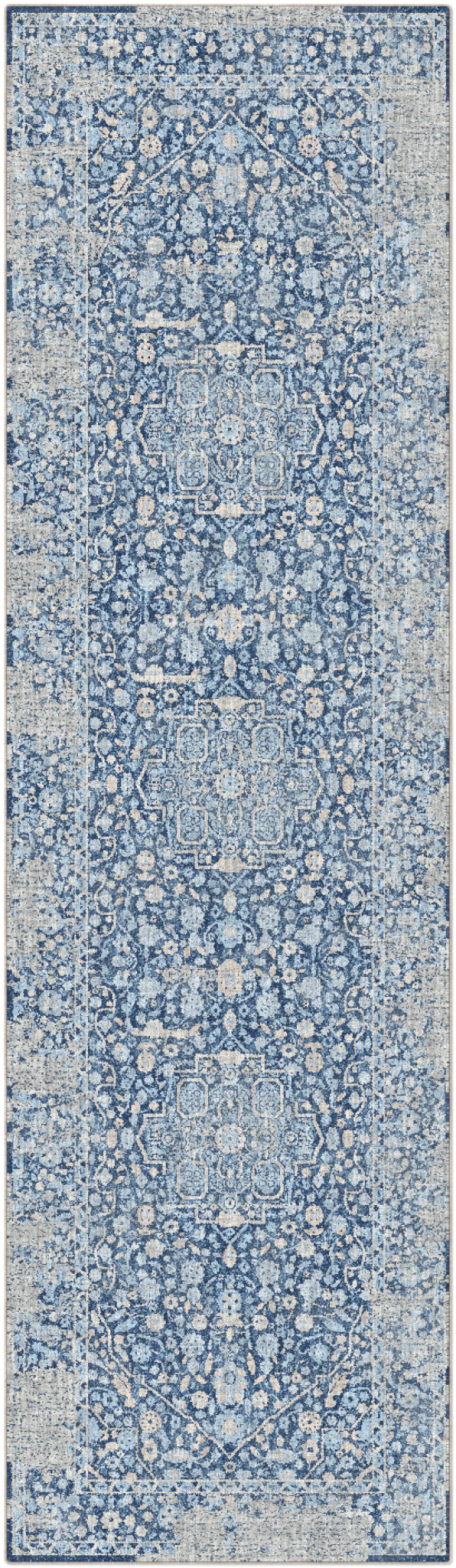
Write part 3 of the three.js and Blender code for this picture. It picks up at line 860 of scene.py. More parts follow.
def draw_end():
    """The paper of the rug's end: the last part of the field and the end border."""
    p = Paper(226, DESIGN_END + 2, DENIM)
    end_field(p)
    straight(p, FIELD_EDGE - GUARD_RIM, 0, DESIGN_EDGE + SPARE, FAR, DENIM)
    straight(p, 0, END_LINES[0] - GUARD_RIM, DESIGN_EDGE + SPARE, FAR, DENIM)
    end_border(p)
    fill_gaps(p, (0, 314, 226, 618), 4, (7, 5.5, 4.4), gap=1.7, tries=7000)
    inner = (FIELD_EDGE, GUARD_EDGE)
    for k, (side, end) in enumerate(((inner, END_LINES[:2]), (OUTER_GUARD, END_LINES[2:]))):
        straight(p, side[0] - GUARD_RIM, 0, side[1] + GUARD_RIM, end[1] + GUARD_RIM, CREAM)
        straight(p, 0, end[0] - GUARD_RIM, side[1] + GUARD_RIM, end[1] + GUARD_RIM, CREAM)
        first = (0, 27.0)[k]
        length = (11.0, 9.0)[k]
        guard_blocks(p, -SPARE, side[0] + 2, first, 32.8, False,
                     end[0] + GUARD_LINE, end[1] - GUARD_LINE, length)
        guard_blocks(p, 0, end[1] - GUARD_LINE, -BLOCK / 2 if k == 0 else 1.7, BLOCK, True,
                     side[0] + GUARD_LINE, side[1] - GUARD_LINE, length)
        straight(p, 0, end[0] - GUARD_LINE, side[0], end[0] + GUARD_LINE, CREAM)
    straight(p, OUTER_GUARD[1] + GUARD_RIM, 0, DESIGN_EDGE + SPARE, FAR, NAVY)
    straight(p, 0, END_LINES[3] + GUARD_RIM, DESIGN_EDGE + SPARE, FAR, NAVY)
    return p


# ---------------------------------------------------------------- the pile's colours

# What each yarn looks like, as red, green and blue from 0 to 1 on screen
YARN_COLOURS = {
    NAVY: (0.155, 0.265, 0.41),
    DENIM: (0.365, 0.49, 0.615),
    STEEL: (0.58, 0.685, 0.765),
    SKY: (0.69, 0.79, 0.865),
    MIST: (0.775, 0.83, 0.865),
    CREAM: (0.88, 0.86, 0.825),
    BLUSH: (0.885, 0.83, 0.78),
}
DUST = (0.8, 0.803, 0.79)  # where the design is woven as if worn away
DEEP_SHADOW = (0.29, 0.37, 0.46)
SHADOW = (0.54, 0.585, 0.625)  # single tufts in the worn places


def linear(colour):
    """Screen colours as the linear ones that Blender works in."""
    colour = np.asarray(colour, float)
    return np.where(colour < 0.04045, colour / 12.92, ((colour + 0.055) / 1.055) ** 2.4)


def patches(x, y, width, length, seed):
    """Smooth random patches, from 0 to 1, about as wide and long as asked."""
    size = 400
    spots = np.random.default_rng(seed).random((size, size))
    a, b = np.asarray(x) / width + size / 2, np.asarray(y) / length + size / 2
    i, j = np.floor(a).astype(int), np.floor(b).astype(int)
    s, t = a - i, b - j
    s, t = s * s * (3 - 2 * s), t * t * (3 - 2 * t)
    i, j = i % (size - 1), j % (size - 1)
    low = spots[j, i] * (1 - s) + spots[j, i + 1] * s
    high = spots[j + 1, i] * (1 - s) + spots[j + 1, i + 1] * s
    return low * (1 - t) + high * t


def lookup(paper, u, v):
    """The yarn that a paper has at u, v."""
    column = np.clip(np.rint((u - paper.u[0]) / CELL).astype(int), 0, len(paper.u) - 1)
    row = np.clip(np.rint((v - paper.v[0]) / CELL).astype(int), 0, len(paper.v) - 1)
    return paper.yarn[row, column]


def design_yarns(x, y, field, between, side, end):
    """The yarn of the design at points of the rug, in millimetres from its middle."""
    right = x > AXIS
    u = np.abs(x - AXIS)
    beyond = right & (u > GUARD_EDGE)
    u = np.where(beyond, GUARD_EDGE + (u - GUARD_EDGE) * RIGHT_STRETCH, u)
    medallion_centre = np.clip(np.rint(y / PERIOD), -1, 1) * PERIOD
    v = y - medallion_centre
    turned = np.where(right, v, -v)
    inner = np.where(np.abs(y) > PERIOD, lookup(field, u, np.abs(v)), lookup(between, u, v))
    yarn = np.where(u > GUARD_EDGE + GUARD_LINE, lookup(side, u, turned), inner)
    at_end = (np.abs(v) > END_START) & (np.abs(y) > PERIOD)
    yarn = np.where(at_end, lookup(end, u, np.abs(v)), yarn)
    return yarn, u, v


# Patches of the design that are woven as if worn, each as side (+1 is right of the axis, -1 left),
# u from and to, v from and to, and how far gone it is. They repeat with every medallion.
REPEAT_WEAR = [
    (1, 300, 350, 98, 272, 1.0), (1, 268, 310, 165, 205, 0.9), (1, 285, 310, 215, 272, 0.8),
    (1, 306, 350, -75, 0, 0.8), (1, 220, 255, -55, -18, 0.6), (1, 296, 350, -158, -112, 0.8),
    (1, 215, 310, -272, -232, 0.7), (1, 318, 350, -275, -150, 0.5), (1, 318, 350, 0, 100, 0.35),
    (-1, 228, 345, 62, 140, 0.8), (-1, 280, 330, 84, 112, 0.9), (-1, 298, 350, 118, 182, 0.8),
    (-1, 296, 350, 236, 272, 0.8), (-1, 218, 262, 33, 62, 0.6), (-1, 272, 350, -178, -122, 0.9),
    (-1, 288, 350, -272, -188, 0.9), (-1, 218, 250, -272, -200, 0.5), (-1, 318, 350, -60, 60, 0.4),
    (-1, 0, 45, 160, 195, 0.3), (-1, 0, 94, 236, 262, 0.6), (1, 0, 60, -30, 66, 0.32),
    (-1, 0, 60, -20, 76, 0.32),
]
# The same at the two ends, with v from the rug's middle
END_WEAR = [
    (1, 0, 175, 1155, 1190, 0.95), (-1, 0, 145, 1155, 1190, 0.95), (-1, 235, 310, 1098, 1135, 0.8),
    (-1, 180, 350, 1050, 1100, 0.6), (1, 245, 350, 890, 1078, 0.9), (1, 215, 350, 1040, 1075, 0.6),
    (-1, 230, 350, 800, 850, 0.5), (1, 150, 350, 700, 730, 0.6),
    (-1, 0, 150, 1050, 1075, 0.35), (1, 0, 160, 1050, 1075, 0.35),
    (1, 0, 205, -1190, -1100, 0.8), (-1, 0, 85, -1190, -1100, 0.8), (-1, 240, 350, -1058, -898, 0.8),
    (1, 270, 350, -900, -840, 0.6),
    (-1, 0, 95, 888, 916, 0.5), (1, 0, 130, 884, 914, 0.5), (1, 190, 350, 862, 888, 0.85),
    (-1, 190, 270, 806, 860, 0.6), (-1, 95, 175, 870, 904, 0.5), (-1, 225, 350, 944, 976, 0.85),
    (-1, 292, 350, 866, 916, 0.7), (-1, 268, 350, 812, 852, 0.7), (1, 282, 350, 795, 866, 0.95),
    (-1, 150, 205, 818, 884, 0.45), (1, 160, 215, 828, 880, 0.55),
]


def worn(x, y, v):
    """How worn the design looks at each point, from 0 to 1."""
    right = x > AXIS
    u = np.abs(x - AXIS)
    amount = np.zeros_like(x)
    ragged = 34 * (patches(x, y, 26, 9, 11) - 0.5) + 20 * (patches(x, y, 9, 5, 12) - 0.5)
    for wear_list, along in ((REPEAT_WEAR, v), (END_WEAR, y)):
        for side, low_u, high_u, low_v, high_v, strength in wear_list:
            if wear_list is REPEAT_WEAR:
                here = (right == (side > 0)) & (np.abs(y) < END_ZONE)
            else:
                here = right == (side > 0)
            inside = np.minimum(np.minimum(u - low_u, high_u - u),
                                0.8 * np.minimum(along - low_v, high_v - along))
            patch = strength * np.clip((inside + ragged) / 16 + 0.5, 0, 1)
            amount = np.where(here, np.maximum(amount, patch), amount)
    return amount


NAVY_BAND = {
    1: [(25, 70), (0, 12), (-210, -155), (-235, -220)],
    -1: [(62, 80), (181, 233), (240, 258), (8, 24), (-54, -5)],
}
END_BAND = {
    1: [(892, 905), (828, 858), (1044, 1187), (-1190, -1079), (-970, -949), (-918, -894)],
    -1: [(777, 813), (967, 1003), (1100, 1190), (-1187, -1124), (-1094, -1037)],
}
TOP_BAND = [(-338, -141), (177, 341)]
FOOT_BAND = [(-338, -142), (212, 341)]


def band_shown(x, y, v):
    """Where the navy band along the rug's edge is woven, rather than left pale."""
    rough = 5 * (patches(x, y, 6, 6, 21) - 0.5)
    shown = np.zeros(x.shape, bool)
    ends = np.abs(y) > END_ZONE
    for side in (1, -1):
        here = (x > AXIS) == (side > 0)
        for spans, along, place in ((NAVY_BAND[side], v, ~ends), (END_BAND[side], y, ends)):
            for low, high in spans:
                shown |= here & place & (along + rough > low) & (along + rough < high)
    for spans, place in ((TOP_BAND, y > BAND_START), (FOOT_BAND, y < -BAND_START)):
        shown[place] = False
        for low, high in spans:
            shown |= place & (x + rough > low) & (x + rough < high)
    return shown


SWAPPED = 10  # added to a tuft's yarn once it has been swapped
# Single tufts of one yarn among another: from, to, and between which shares of the tufts
STRAYS = [
    (NAVY, DENIM, 0.00, 0.15), (NAVY, STEEL, 0.15, 0.18), (DENIM, STEEL, 0.00, 0.12),
    (DENIM, NAVY, 0.12, 0.26), (DENIM, SKY, 0.26, 0.34), (STEEL, DENIM, 0.00, 0.10),
    (STEEL, SKY, 0.10, 0.40), (SKY, STEEL, 0.00, 0.12), (SKY, DENIM, 0.12, 0.17),
    (SKY, MIST, 0.17, 0.38), (MIST, STEEL, 0.00, 0.09), (MIST, DENIM, 0.09, 0.13),
    (MIST, SKY, 0.13, 0.28), (MIST, CREAM, 0.28, 0.40), (CREAM, MIST, 0.00, 0.14),
    (CREAM, STEEL, 0.14, 0.20), (BLUSH, CREAM, 0.00, 0.18), (BLUSH, MIST, 0.18, 0.26),
    (BLUSH, STEEL, 0.26, 0.32),
]


def dashes(x, y, length, seed):
    """Random numbers that stay the same over short runs along the weft."""
    rows, runs, weft_pitch = 1500, 300, 1.7
    table = np.random.default_rng(seed).random((rows, runs + 1))
    row = np.floor(y / weft_pitch).astype(int) % rows
    run = np.floor(x / length + 7 * table[row, runs]).astype(int) % runs
    return table[row, run]


def tuft_colours(x, y):
    """The linear colour of each tuft. x and y are in millimetres from the rug's middle."""
    chance = np.random.default_rng(5)
    field, side, end = draw_field(), draw_side(), draw_end()
    between = draw_between(field)
    # a tuft takes its yarn from a spot near it, so the motifs' outlines are rough
    wander, share_of_wander = 0.8, 0.55
    jx = x + chance.normal(0, wander, x.shape) * share_of_wander
    jy = y + chance.normal(0, wander, x.shape) * share_of_wander
    yarn, u, v = design_yarns(jx, jy, field, between, side, end)
    wear = worn(x, y, v)
    # the edge band, which comes and goes
    in_band = (u > OUTER_GUARD[1] + GUARD_RIM) | (np.abs(y) > BAND_START)
    shown = band_shown(x, y, v)
    yarn = np.where(in_band & shown, NAVY, yarn)
    wear = np.where(in_band & ~shown, np.maximum(wear, 0.9), wear)
    wear = np.where(in_band & shown, 0, wear)
    # the medallion's ground is mottled, and the borders' ground has gone pale in places
    mottle = patches(u, np.abs(v), 10, 9, 54)
    steel = yarn == STEEL
    yarn = np.where(steel & (mottle > 0.60), DENIM, yarn)
    yarn = np.where(steel & (mottle < 0.42), MIST, yarn)
    pale = (u > GUARD_EDGE) & ~in_band & (yarn <= DENIM) & (patches(x, y, 13, 8, 55) > 0.72)
    yarn = np.where(pale, np.where(patches(x, y, 7, 5, 56) > 0.5, SKY, MIST), yarn)
    # the ground isn't one blue: streaks along the warp of navy in denim
    streak = 0.62 * patches(x, y, 5, 19, 31) + 0.38 * patches(x, y, 4, 5, 32)
    ground = yarn <= DENIM
    share = chance.random(x.shape)
    dark = ground & (streak + 0.30 * (share - 0.5) + 0.14 * (yarn == NAVY) > 0.50)
    yarn = np.where(ground, np.where(dark, NAVY, DENIM), yarn)
    yarn = np.where(in_band & shown, NAVY, yarn)
    # single tufts of a neighbouring yarn
    stray = chance.random(x.shape)
    for from_yarn, to_yarn, low_share, high_share in STRAYS:
        swap = (yarn == from_yarn) & (stray >= low_share) & (stray < high_share)
        yarn = np.where(swap, SWAPPED + to_yarn, yarn)
    yarn = yarn % SWAPPED
    palette = np.array([YARN_COLOURS[k] for k in range(7)])
    colour = palette[yarn]
    # a pale bar that is woven on the left side only
    bar_edge = 4.5 + 3 * (patches(x, y, 5, 3, 51) - 0.5)
    bar = (x < AXIS) & (np.abs(v - 161) < bar_edge) & (u > 46) & (u < 146)
    colour = np.where((bar & (chance.random(x.shape) < 0.9))[..., None], palette[CREAM], colour)
    # the borders are lightly worn all along
    border = (u > GUARD_EDGE) & ~(in_band & shown)
    light_wear = 0.70 * patches(x, y, 34, 14, 49) - 0.10
    wear = np.where(border, np.maximum(wear, light_wear), wear)
    # worn places: pale tufts, and among them dark dashes in rows along the weft
    grit = 0.6 * patches(x, y, 7, 3.2, 52) + 0.4 * chance.random(x.shape)
    fade = 1.35 * wear - 0.45 * patches(x, y, 14, 9, 43) > grit
    dusty = np.array(DUST) + 0.09 * (patches(x, y, 55, 5, 44) - 0.5)[..., None]
    row = 0.5 + 0.5 * np.cos(2 * math.pi * y / 8.3 + 2.5 * patches(x, y, 60, 30, 50))
    spread = 0.10 + 0.42 * row ** 3 * patches(x, y, 14, 14, 41)
    spread = spread + 0.22 * (patches(x, y, 8, 5, 42) > 0.68)
    strength = dashes(x, y, 2.9, 53) / spread
    dusty = np.where((strength < 1)[..., None], np.array(SHADOW), dusty)
    dusty = np.where((strength < 0.42)[..., None], np.array(DEEP_SHADOW), dusty)
    colour = np.where(fade[..., None], dusty, colour)
    # light wear all over lifts the colours a little, in patches, and more so on the right
    haze = 0.22 * np.clip(patches(x, y, 60, 45, 45) * 1.6 - 0.5, 0, 1)
    haze = haze + 0.22 * (border & (x > AXIS)) * patches(x, y, 50, 60, 48)
    haze = haze + 0.10 * np.clip(3 - 3 * np.hypot(u / 115, v / 125) ** 2, 0, 1)
    colour = colour * (1 - haze[..., None]) + np.array(DUST) * haze[..., None]
    # painted light and shade of the warp's ribs and weft's rows; each tuft's own brightness and tint
    rib_light_and_shade = 0.14 * (patches(x, y, 2.1, 30, 46) - 0.5) + 0.09 * (patches(x, y, 24, 2.6, 47) - 0.5)
    colour = colour * (1 + 1.6 * rib_light_and_shade[..., None])
    colour = colour + chance.normal(0, 0.048, x.shape)[..., None]
    colour = colour + chance.normal(0, 0.014, colour.shape)
    return linear(np.clip(colour, 0.05, 0.97))


def new_object(name, points, faces):
    """A mesh object of the points and of one array of faces that all have as many corners."""
    mesh = bpy.data.meshes.new(name)
    points = np.asarray(points, np.float32)
    faces = np.asarray(faces, np.int32)
    count, corners = faces.shape
    mesh.vertices.add(len(points))
    mesh.vertices.foreach_set("co", points.ravel())
    mesh.loops.add(count * corners)
    mesh.loops.foreach_set("vertex_index", faces.ravel())
    mesh.polygons.add(count)
    mesh.polygons.foreach_set("loop_start", np.arange(0, count * corners, corners, dtype=np.int32))
    mesh.update(calc_edges=True)
    mesh.polygons.foreach_set("use_smooth", np.ones(count, bool))
    mesh.validate()
    piece = bpy.data.objects.new(name, mesh)
    bpy.context.scene.collection.objects.link(piece)
    return piece


# ---------------------------------------------------------------- shapes

def grid_faces(rows, columns):
    """The quads of a grid of points."""
    first = np.arange(rows - 1)[:, None] * columns + np.arange(columns - 1)[None, :]
    corners = [first, first + 1, first + columns + 1, first + columns]
    return np.stack([c.ravel() for c in np.broadcast_arrays(*corners)], 1)


def rim_points(rows, columns):
    """The numbers of a grid's outermost points, once round."""
    return np.concatenate([
        np.arange(columns - 1), (np.arange(rows - 1) + 1) * columns - 1,
        rows * columns - 1 - np.arange(columns - 1), (rows - 1 - np.arange(rows - 1)) * columns])


def closed_sheet(name, upper, lower, rows, columns, flipped=False):
    """A cloth between two grids of points, closed round its rim; flipped turns its faces over."""
    faces = grid_faces(rows, columns)
    rim = rim_points(rows, columns)
    after = np.roll(rim, -1)
    count = rows * columns
    wall = np.stack([rim, rim + count, after + count, after], 1)
    if flipped:
        faces, wall = faces[:, ::-1], wall[:, ::-1]
    return new_object(name, np.vstack([upper, lower]),
                      np.vstack([faces, faces[:, ::-1] + count, wall]))


def tube(name, rings):
    """A tube whose sides each run through one of the lists of points."""
    points = np.stack(rings, 1)
    count, sides = points.shape[:2]
    index = np.arange(count * sides).reshape(count, sides)
    index = np.concatenate([index, index[:, :1]], 1)
    faces = np.stack([index[:-1, :-1].ravel(), index[:-1, 1:].ravel(),
                      index[1:, 1:].ravel(), index[1:, :-1].ravel()], 1)
    return new_object(name, points.reshape(-1, 3), faces)


def round_corners(x, y, half_width, half_length, radius):
    """Moves points that lie outside a rectangle's round corners onto them."""
    dx = np.abs(x) - (half_width - radius)
    dy = np.abs(y) - (half_length - radius)
    away = np.hypot(dx, dy)
    out = (dx > 0) & (dy > 0) & (away > radius)
    scale = np.where(out, radius / np.where(out, away, 1), 1)
    new_x = np.where(out, np.sign(x) * (half_width - radius + dx * scale), x)
    new_y = np.where(out, np.sign(y) * (half_length - radius + dy * scale), y)
    return new_x, new_y


def half_sizes(low, high):
    """Half the width and half the length of a box."""
    return (high.x - low.x) / 2, (high.y - low.y) / 2


TUFT = 1.7 * MM  # from one tuft to the next
TUFT_RELIEF = 0.9 * MM  # the cut ends aren't level
PILE_RIM = 1.5 * MM  # the pile's edge is round
PILE_CORNER = 3.2 * MM


def pile_sheet():
    """The pile as one sheet with a point for each tuft, and a rim that turns down at its edge."""
    chance = np.random.default_rng(7)
    low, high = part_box("pile")
    half_width, half_length = half_sizes(low, high)
    inner_width, inner_length = half_width - PILE_RIM, half_length - PILE_RIM
    columns = round(2 * inner_width / TUFT) + 1
    rows = round(2 * inner_length / TUFT) + 1
    x, y = np.meshgrid(np.linspace(-inner_width, inner_width, columns),
                       np.linspace(-inner_length, inner_length, rows))
    x[1:-1, 1:-1] += chance.uniform(-0.2, 0.2, (rows - 2, columns - 2)) * TUFT
    y[1:-1, 1:-1] += chance.uniform(-0.2, 0.2, (rows - 2, columns - 2)) * TUFT
    x, y = round_corners(x, y, inner_width, inner_length, PILE_CORNER - PILE_RIM)
    relief = chance.random(x.shape) ** 1.5
    swell = patches(x / MM, y / MM, 9, 14, 8)
    reed = np.broadcast_to(np.arange(columns) % 2, x.shape)
    z = high.z - TUFT_RELIEF * (0.6 * relief + 0.2 * swell + 0.2 * reed)
    top = np.stack([x, y, z], -1)
    middle_x = (x[:-1, :-1] + x[1:, 1:]) / 2
    middle_y = (y[:-1, :-1] + y[1:, 1:]) / 2
    tufts = tuft_colours(middle_x / MM, middle_y / MM)
    # the rim: the outermost tufts again, further and further out and down
    edge = rim_points(rows, columns)
    points = top.reshape(-1, 3)
    edge_points = points[edge]
    centre_x = np.clip(edge_points[:, 0], PILE_CORNER - half_width, half_width - PILE_CORNER)
    centre_y = np.clip(edge_points[:, 1], PILE_CORNER - half_length, half_length - PILE_CORNER)
    outward = edge_points[:, :2] - np.stack([centre_x, centre_y], -1)
    outward /= np.linalg.norm(outward, axis=1)[:, None]
    rings = []
    for turn in (30, 60, 90):
        angle = math.radians(turn)
        fringe = PILE_RIM * (math.sin(angle) - 0.15 * chance.random(len(edge)))
        drop = PILE_RIM * (1 - math.cos(angle))
        across = edge_points[:, :2] + outward * fringe[:, None]
        rings.append(np.column_stack([across, edge_points[:, 2] - drop]))
    foot = edge_points[:, :2] + outward * 0.8 * PILE_RIM
    rings.append(np.column_stack([foot, np.full(len(edge), low.z)]))
    turned_in = edge_points[:, :2] - outward * 2 * PILE_RIM
    rings.append(np.column_stack([turned_in, np.full(len(edge), low.z)]))
    count = len(edge)
    start = rows * columns
    faces = [grid_faces(rows, columns)]
    before = edge
    for k in range(len(rings)):
        ring = start + k * count + np.arange(count)
        faces.append(np.stack([before, ring, np.roll(ring, -1), np.roll(before, -1)], 1))
        before = ring
    piece = new_object("pile_tufts", np.vstack([points] + rings), np.vstack(faces))
    beside = np.concatenate([tufts[0], tufts[:, -1], tufts[-1, ::-1], tufts[::-1, 0]])
    colours = np.vstack([tufts.reshape(-1, 3)] + [beside] * len(rings))
    colours = np.column_stack([colours, np.ones(len(colours))]).repeat(4, axis=0)
    layer = piece.data.color_attributes.new("yarn_colour", "FLOAT_COLOR", "CORNER")
    layer.data.foreach_set("color", colours.ravel())
    return piece


LABEL_RECESS = 0.8 * MM  # the lower wefts are pressed up this far where the label lies


def over_label(x, y, reach):
    """Whether points are over the label; reach is added at its two sides."""
    low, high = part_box("care_label")
    return ((x > low.x - reach) & (x < high.x + reach)
            & (y > low.y - 1.5 * MM) & (y < high.y + 1.5 * MM))


def ribbed_sheet(name, node, pitch, along, across_step, wander, seed):
    """A layer of threads that lie side by side along x or y, as one closed sheet of ribs."""
    chance = np.random.default_rng(seed)
    low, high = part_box(node)
    half_width, half_length = half_sizes(low, high)
    length, width = (half_width, half_length) if along == "x" else (half_length, half_width)
    ribs = round(2 * width / pitch)
    side = np.linspace(-width, width, 2 * ribs + 1)
    down = np.linspace(-length, length, max(2, round(2 * length / across_step)) + 1)
    a, b = np.meshgrid(down, side)
    shift = chance.uniform(-1, 1, a.shape) * wander
    shift[0], shift[-1] = 0, 0
    b = b + shift
    crest = np.tile((np.arange(2 * ribs + 1) % 2)[:, None], (1, len(down)))
    depth = 0.22 * (high.z - low.z)
    top = high.z - depth * (1 - crest) - 0.1 * depth * chance.random(a.shape)
    foot = low.z + depth * (1 - crest) + 0.1 * depth * chance.random(a.shape)
    x, y = (a, b) if along == "x" else (b, a)
    corner = max(CORNER - (cad_high.x - high.x), 0.5 * MM)
    x, y = round_corners(x, y, half_width, half_length, corner)
    if node == "lower_weft_shots":
        foot = np.where(over_label(x, y, across_step), np.maximum(foot, LABEL_RECESS), foot)
    upper = np.stack([x, y, top], -1).reshape(-1, 3)
    lower = np.stack([x, y, foot], -1).reshape(-1, 3)
    piece = closed_sheet(name, upper, lower, *a.shape, flipped=along == "y")
    layer = piece.data.attributes.new("crest", "FLOAT", "POINT")
    layer.data.foreach_set("value", np.tile(crest.ravel(), 2).astype(np.float32))
    return piece


# The rug's outline, as the serging follows it
CORNER = 8 * MM
BEAD = 2.8 * MM  # radius of the serged bead
BEAD_FOOT = 0.1 * MM
LIP_REACH = 7 * MM  # how far in from the edge the stitches bite
LIP_TOP = 3.5 * MM
BEAD_WIDTH = 4.5 * MM
CORD_INSET = 2.6 * MM  # the core cord's axis, in from the edge
CORD_HEIGHT = 2.6 * MM
CORD_RADIUS = 1.05 * MM
STITCH_PITCH = 2.3 * MM
THREAD = 0.55 * MM  # half of a serging stitch's thickness


class Route:
    """A path along the rug's outer edge, by the distance along it."""

    def __init__(self, stations):
        self.points = np.array([s[:2] for s in stations])
        self.angles = np.array([s[2] for s in stations])
        steps = np.linalg.norm(np.diff(self.points, axis=0), axis=1)
        self.along = np.concatenate([[0], np.cumsum(steps)])
        self.length = self.along[-1]

    def at(self, distance, inset, height):
        """The points this far along the route, this far in from the edge and this high."""
        x = np.interp(distance, self.along, self.points[:, 0])
        y = np.interp(distance, self.along, self.points[:, 1])
        angle = np.interp(distance, self.along, self.angles)
        return np.stack([x + inset * np.cos(angle), y + inset * np.sin(angle),
                         height + 0 * distance], -1)


def route_on(stations, sign):
    """A route through the stations, or for sign -1 the same on the opposite edge."""
    turn = 0 if sign > 0 else math.pi
    return Route([(sign * x, sign * y, angle + turn) for x, y, angle in stations])


def side_route(sign):
    """The way round one long edge, between the end sergings."""
    low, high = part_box("side_serging_right")
    return route_on([(cad_high.x, low.y, math.pi), (cad_high.x, high.y, math.pi)], sign)


def end_route(sign):
    """The way along one end, round both of its corners."""
    start_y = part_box("end_serging_head")[0].y
    centre_x, centre_y = cad_high.x - CORNER, cad_high.y - CORNER
    stations = [(cad_high.x, start_y, math.pi)]
    steps = 8  # round each corner
    for side, start in ((1, 0), (-1, math.pi / 2)):
        for i in range(steps + 1):
            angle = start + i * math.pi / 2 / steps
            stations.append((side * centre_x + CORNER * math.cos(angle),
                             centre_y + CORNER * math.sin(angle), angle + math.pi))
    stations.append((-cad_high.x, start_y, 2 * math.pi))
    return route_on(stations, sign)


def stitch_loop():
    """The closed path of one overcast stitch: inset and height, from the bite and back to it."""
    inset_in, top, foot = LIP_REACH - THREAD, LIP_TOP - THREAD, BEAD_FOOT + THREAD
    radius = BEAD - THREAD
    middle = BEAD_FOOT + BEAD
    path = [(inset_in, foot), (4.6 * MM, foot)]
    for turn in range(-90, -271, -20):
        angle = math.radians(turn)
        path.append((BEAD + radius * math.cos(angle), middle + radius * math.sin(angle)))
    beside_pile = BEAD_WIDTH - 0.25 * MM
    path += [(BEAD + 0.62 * radius, middle + 0.78 * radius), (beside_pile, top + 0.6 * THREAD),
             (5.2 * MM, top), (inset_in, top)]
    path.append(path[0])
    return np.array(path)


def overcast(name, route, seed):
    """One thread wound round and round the edge, as a flat tube along a helix."""
    chance = np.random.default_rng(seed)
    path = stitch_loop()
    reach = np.concatenate([[0], np.cumsum(np.linalg.norm(np.diff(path, axis=0), axis=1))])
    turns = int(route.length / STITCH_PITCH) - 1
    steps = 16
    t = np.arange(turns * steps + 1) / steps
    spot = (t % 1) * reach[-1]
    inset = np.interp(spot, reach, path[:, 0])
    height = np.interp(spot, reach, path[:, 1])
    uneven = np.interp(t, np.arange(turns + 2), chance.uniform(-0.12, 0.12, turns + 2))
    margin = STITCH_PITCH * 0.55
    distance = np.clip((t + uneven) * route.length / turns, margin, route.length - margin)
    centre = route.at(distance, inset, height)
    tangent = np.gradient(centre, axis=0)
    tangent /= np.linalg.norm(tangent, axis=1)[:, None]
    edge = route.at(distance + 1e-4, inset, height) - route.at(distance - 1e-4, inset, height)
    edge /= np.linalg.norm(edge, axis=1)[:, None]
    outward = np.cross(edge, tangent)
    outward /= np.linalg.norm(outward, axis=1)[:, None]
    sideways = np.cross(tangent, outward)
    plump = np.interp(t, np.arange(turns + 2), chance.uniform(0.9, 1.08, turns + 2))
    rings = []
    sides = 6
    for k in range(sides):
        angle = 2 * math.pi * k / sides
        rings.append(centre + outward * (THREAD * math.cos(angle))
                     + sideways * (0.54 * STITCH_PITCH * math.sin(angle) * plump)[:, None])
    return tube(name, rings)


def twisted_cord(name, route):
    """The three-strand cord inside the serging."""
    sides, step, lay = 12, 1.6 * MM, 9 * MM
    distance = np.linspace(0.3 * MM, route.length - 0.3 * MM, round(route.length / step))
    rings = []
    for k in range(sides):
        angle = 2 * math.pi * k / sides
        lobes = 1 - 0.14 * (1 + np.cos(3 * (angle - 2 * math.pi * distance / lay)))
        radius = CORD_RADIUS * lobes
        rings.append(route.at(distance, CORD_INSET + radius * math.cos(angle),
                              CORD_HEIGHT + radius * math.sin(angle)))
    return tube(name, rings)


def label_cloth():
    """The blank label: a thin cloth with a faint wave and turned ends."""
    low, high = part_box("care_label")
    columns, rows = 63, 39
    x, y = np.meshgrid(np.linspace(low.x, high.x, columns), np.linspace(low.y, high.y, rows))
    thickness = 0.16 * MM
    wave = 0.08 * MM * (patches(x / MM, y / MM, 16, 12, 61) - 0.5)
    turned = 0.06 * MM * (np.abs(x - (low.x + high.x) / 2) > 0.42 * (high.x - low.x))
    foot = (low.z + high.z) / 2 - thickness / 2 + wave - turned
    upper = np.stack([x, y, foot + thickness + turned], -1).reshape(-1, 3)
    lower = np.stack([x, y, foot], -1).reshape(-1, 3)
    return closed_sheet("label_cloth", upper, lower, rows, columns)


def stitch_row(name, node):
    """A row of machine stitches through the label, each a short bowed thread."""
    low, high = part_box(node)
    stitch, sides, steps = 3 * MM, 8, 9
    count = round((high.y - low.y) / stitch)
    x = (low.x + high.x) / 2
    thread = 0.16 * MM
    points, faces = [], []
    for i in range(count):
        start = low.y + i * stitch + 0.35 * MM
        for j in range(steps):
            t = j / (steps - 1)
            y = start + t * (stitch - 0.7 * MM)
            z = low.z + 0.3 * MM - 0.2 * MM * math.sin(math.pi * t)
            size = thread * (0.35 + 0.65 * math.sin(math.pi * (0.08 + 0.84 * t)))
            for k in range(sides):
                angle = 2 * math.pi * k / sides
                points.append((x + 1.5 * size * math.cos(angle), y, z + size * math.sin(angle)))
        base = i * steps * sides
        for j in range(steps - 1):
            for k in range(sides):
                a, b = base + j * sides + k, base + j * sides + (k + 1) % sides
                faces.append((a, b, b + sides, a + sides))
    return new_object(name, points, faces)


# ---------------------------------------------------------------- materials

def new_material(name, roughness, sheen=0.0):
    """A new material, with its node tree and its shader."""
    material = bpy.data.materials.new(name)
    material.use_nodes = True
    principled = material.node_tree.nodes["Principled BSDF"]
    principled.inputs["Roughness"].default_value = roughness
    principled.inputs["Sheen Weight"].default_value = sheen
    principled.inputs["Sheen Roughness"].default_value = 0.5
    principled.inputs["Specular IOR Level"].default_value = 0.2
    return material, material.node_tree, principled


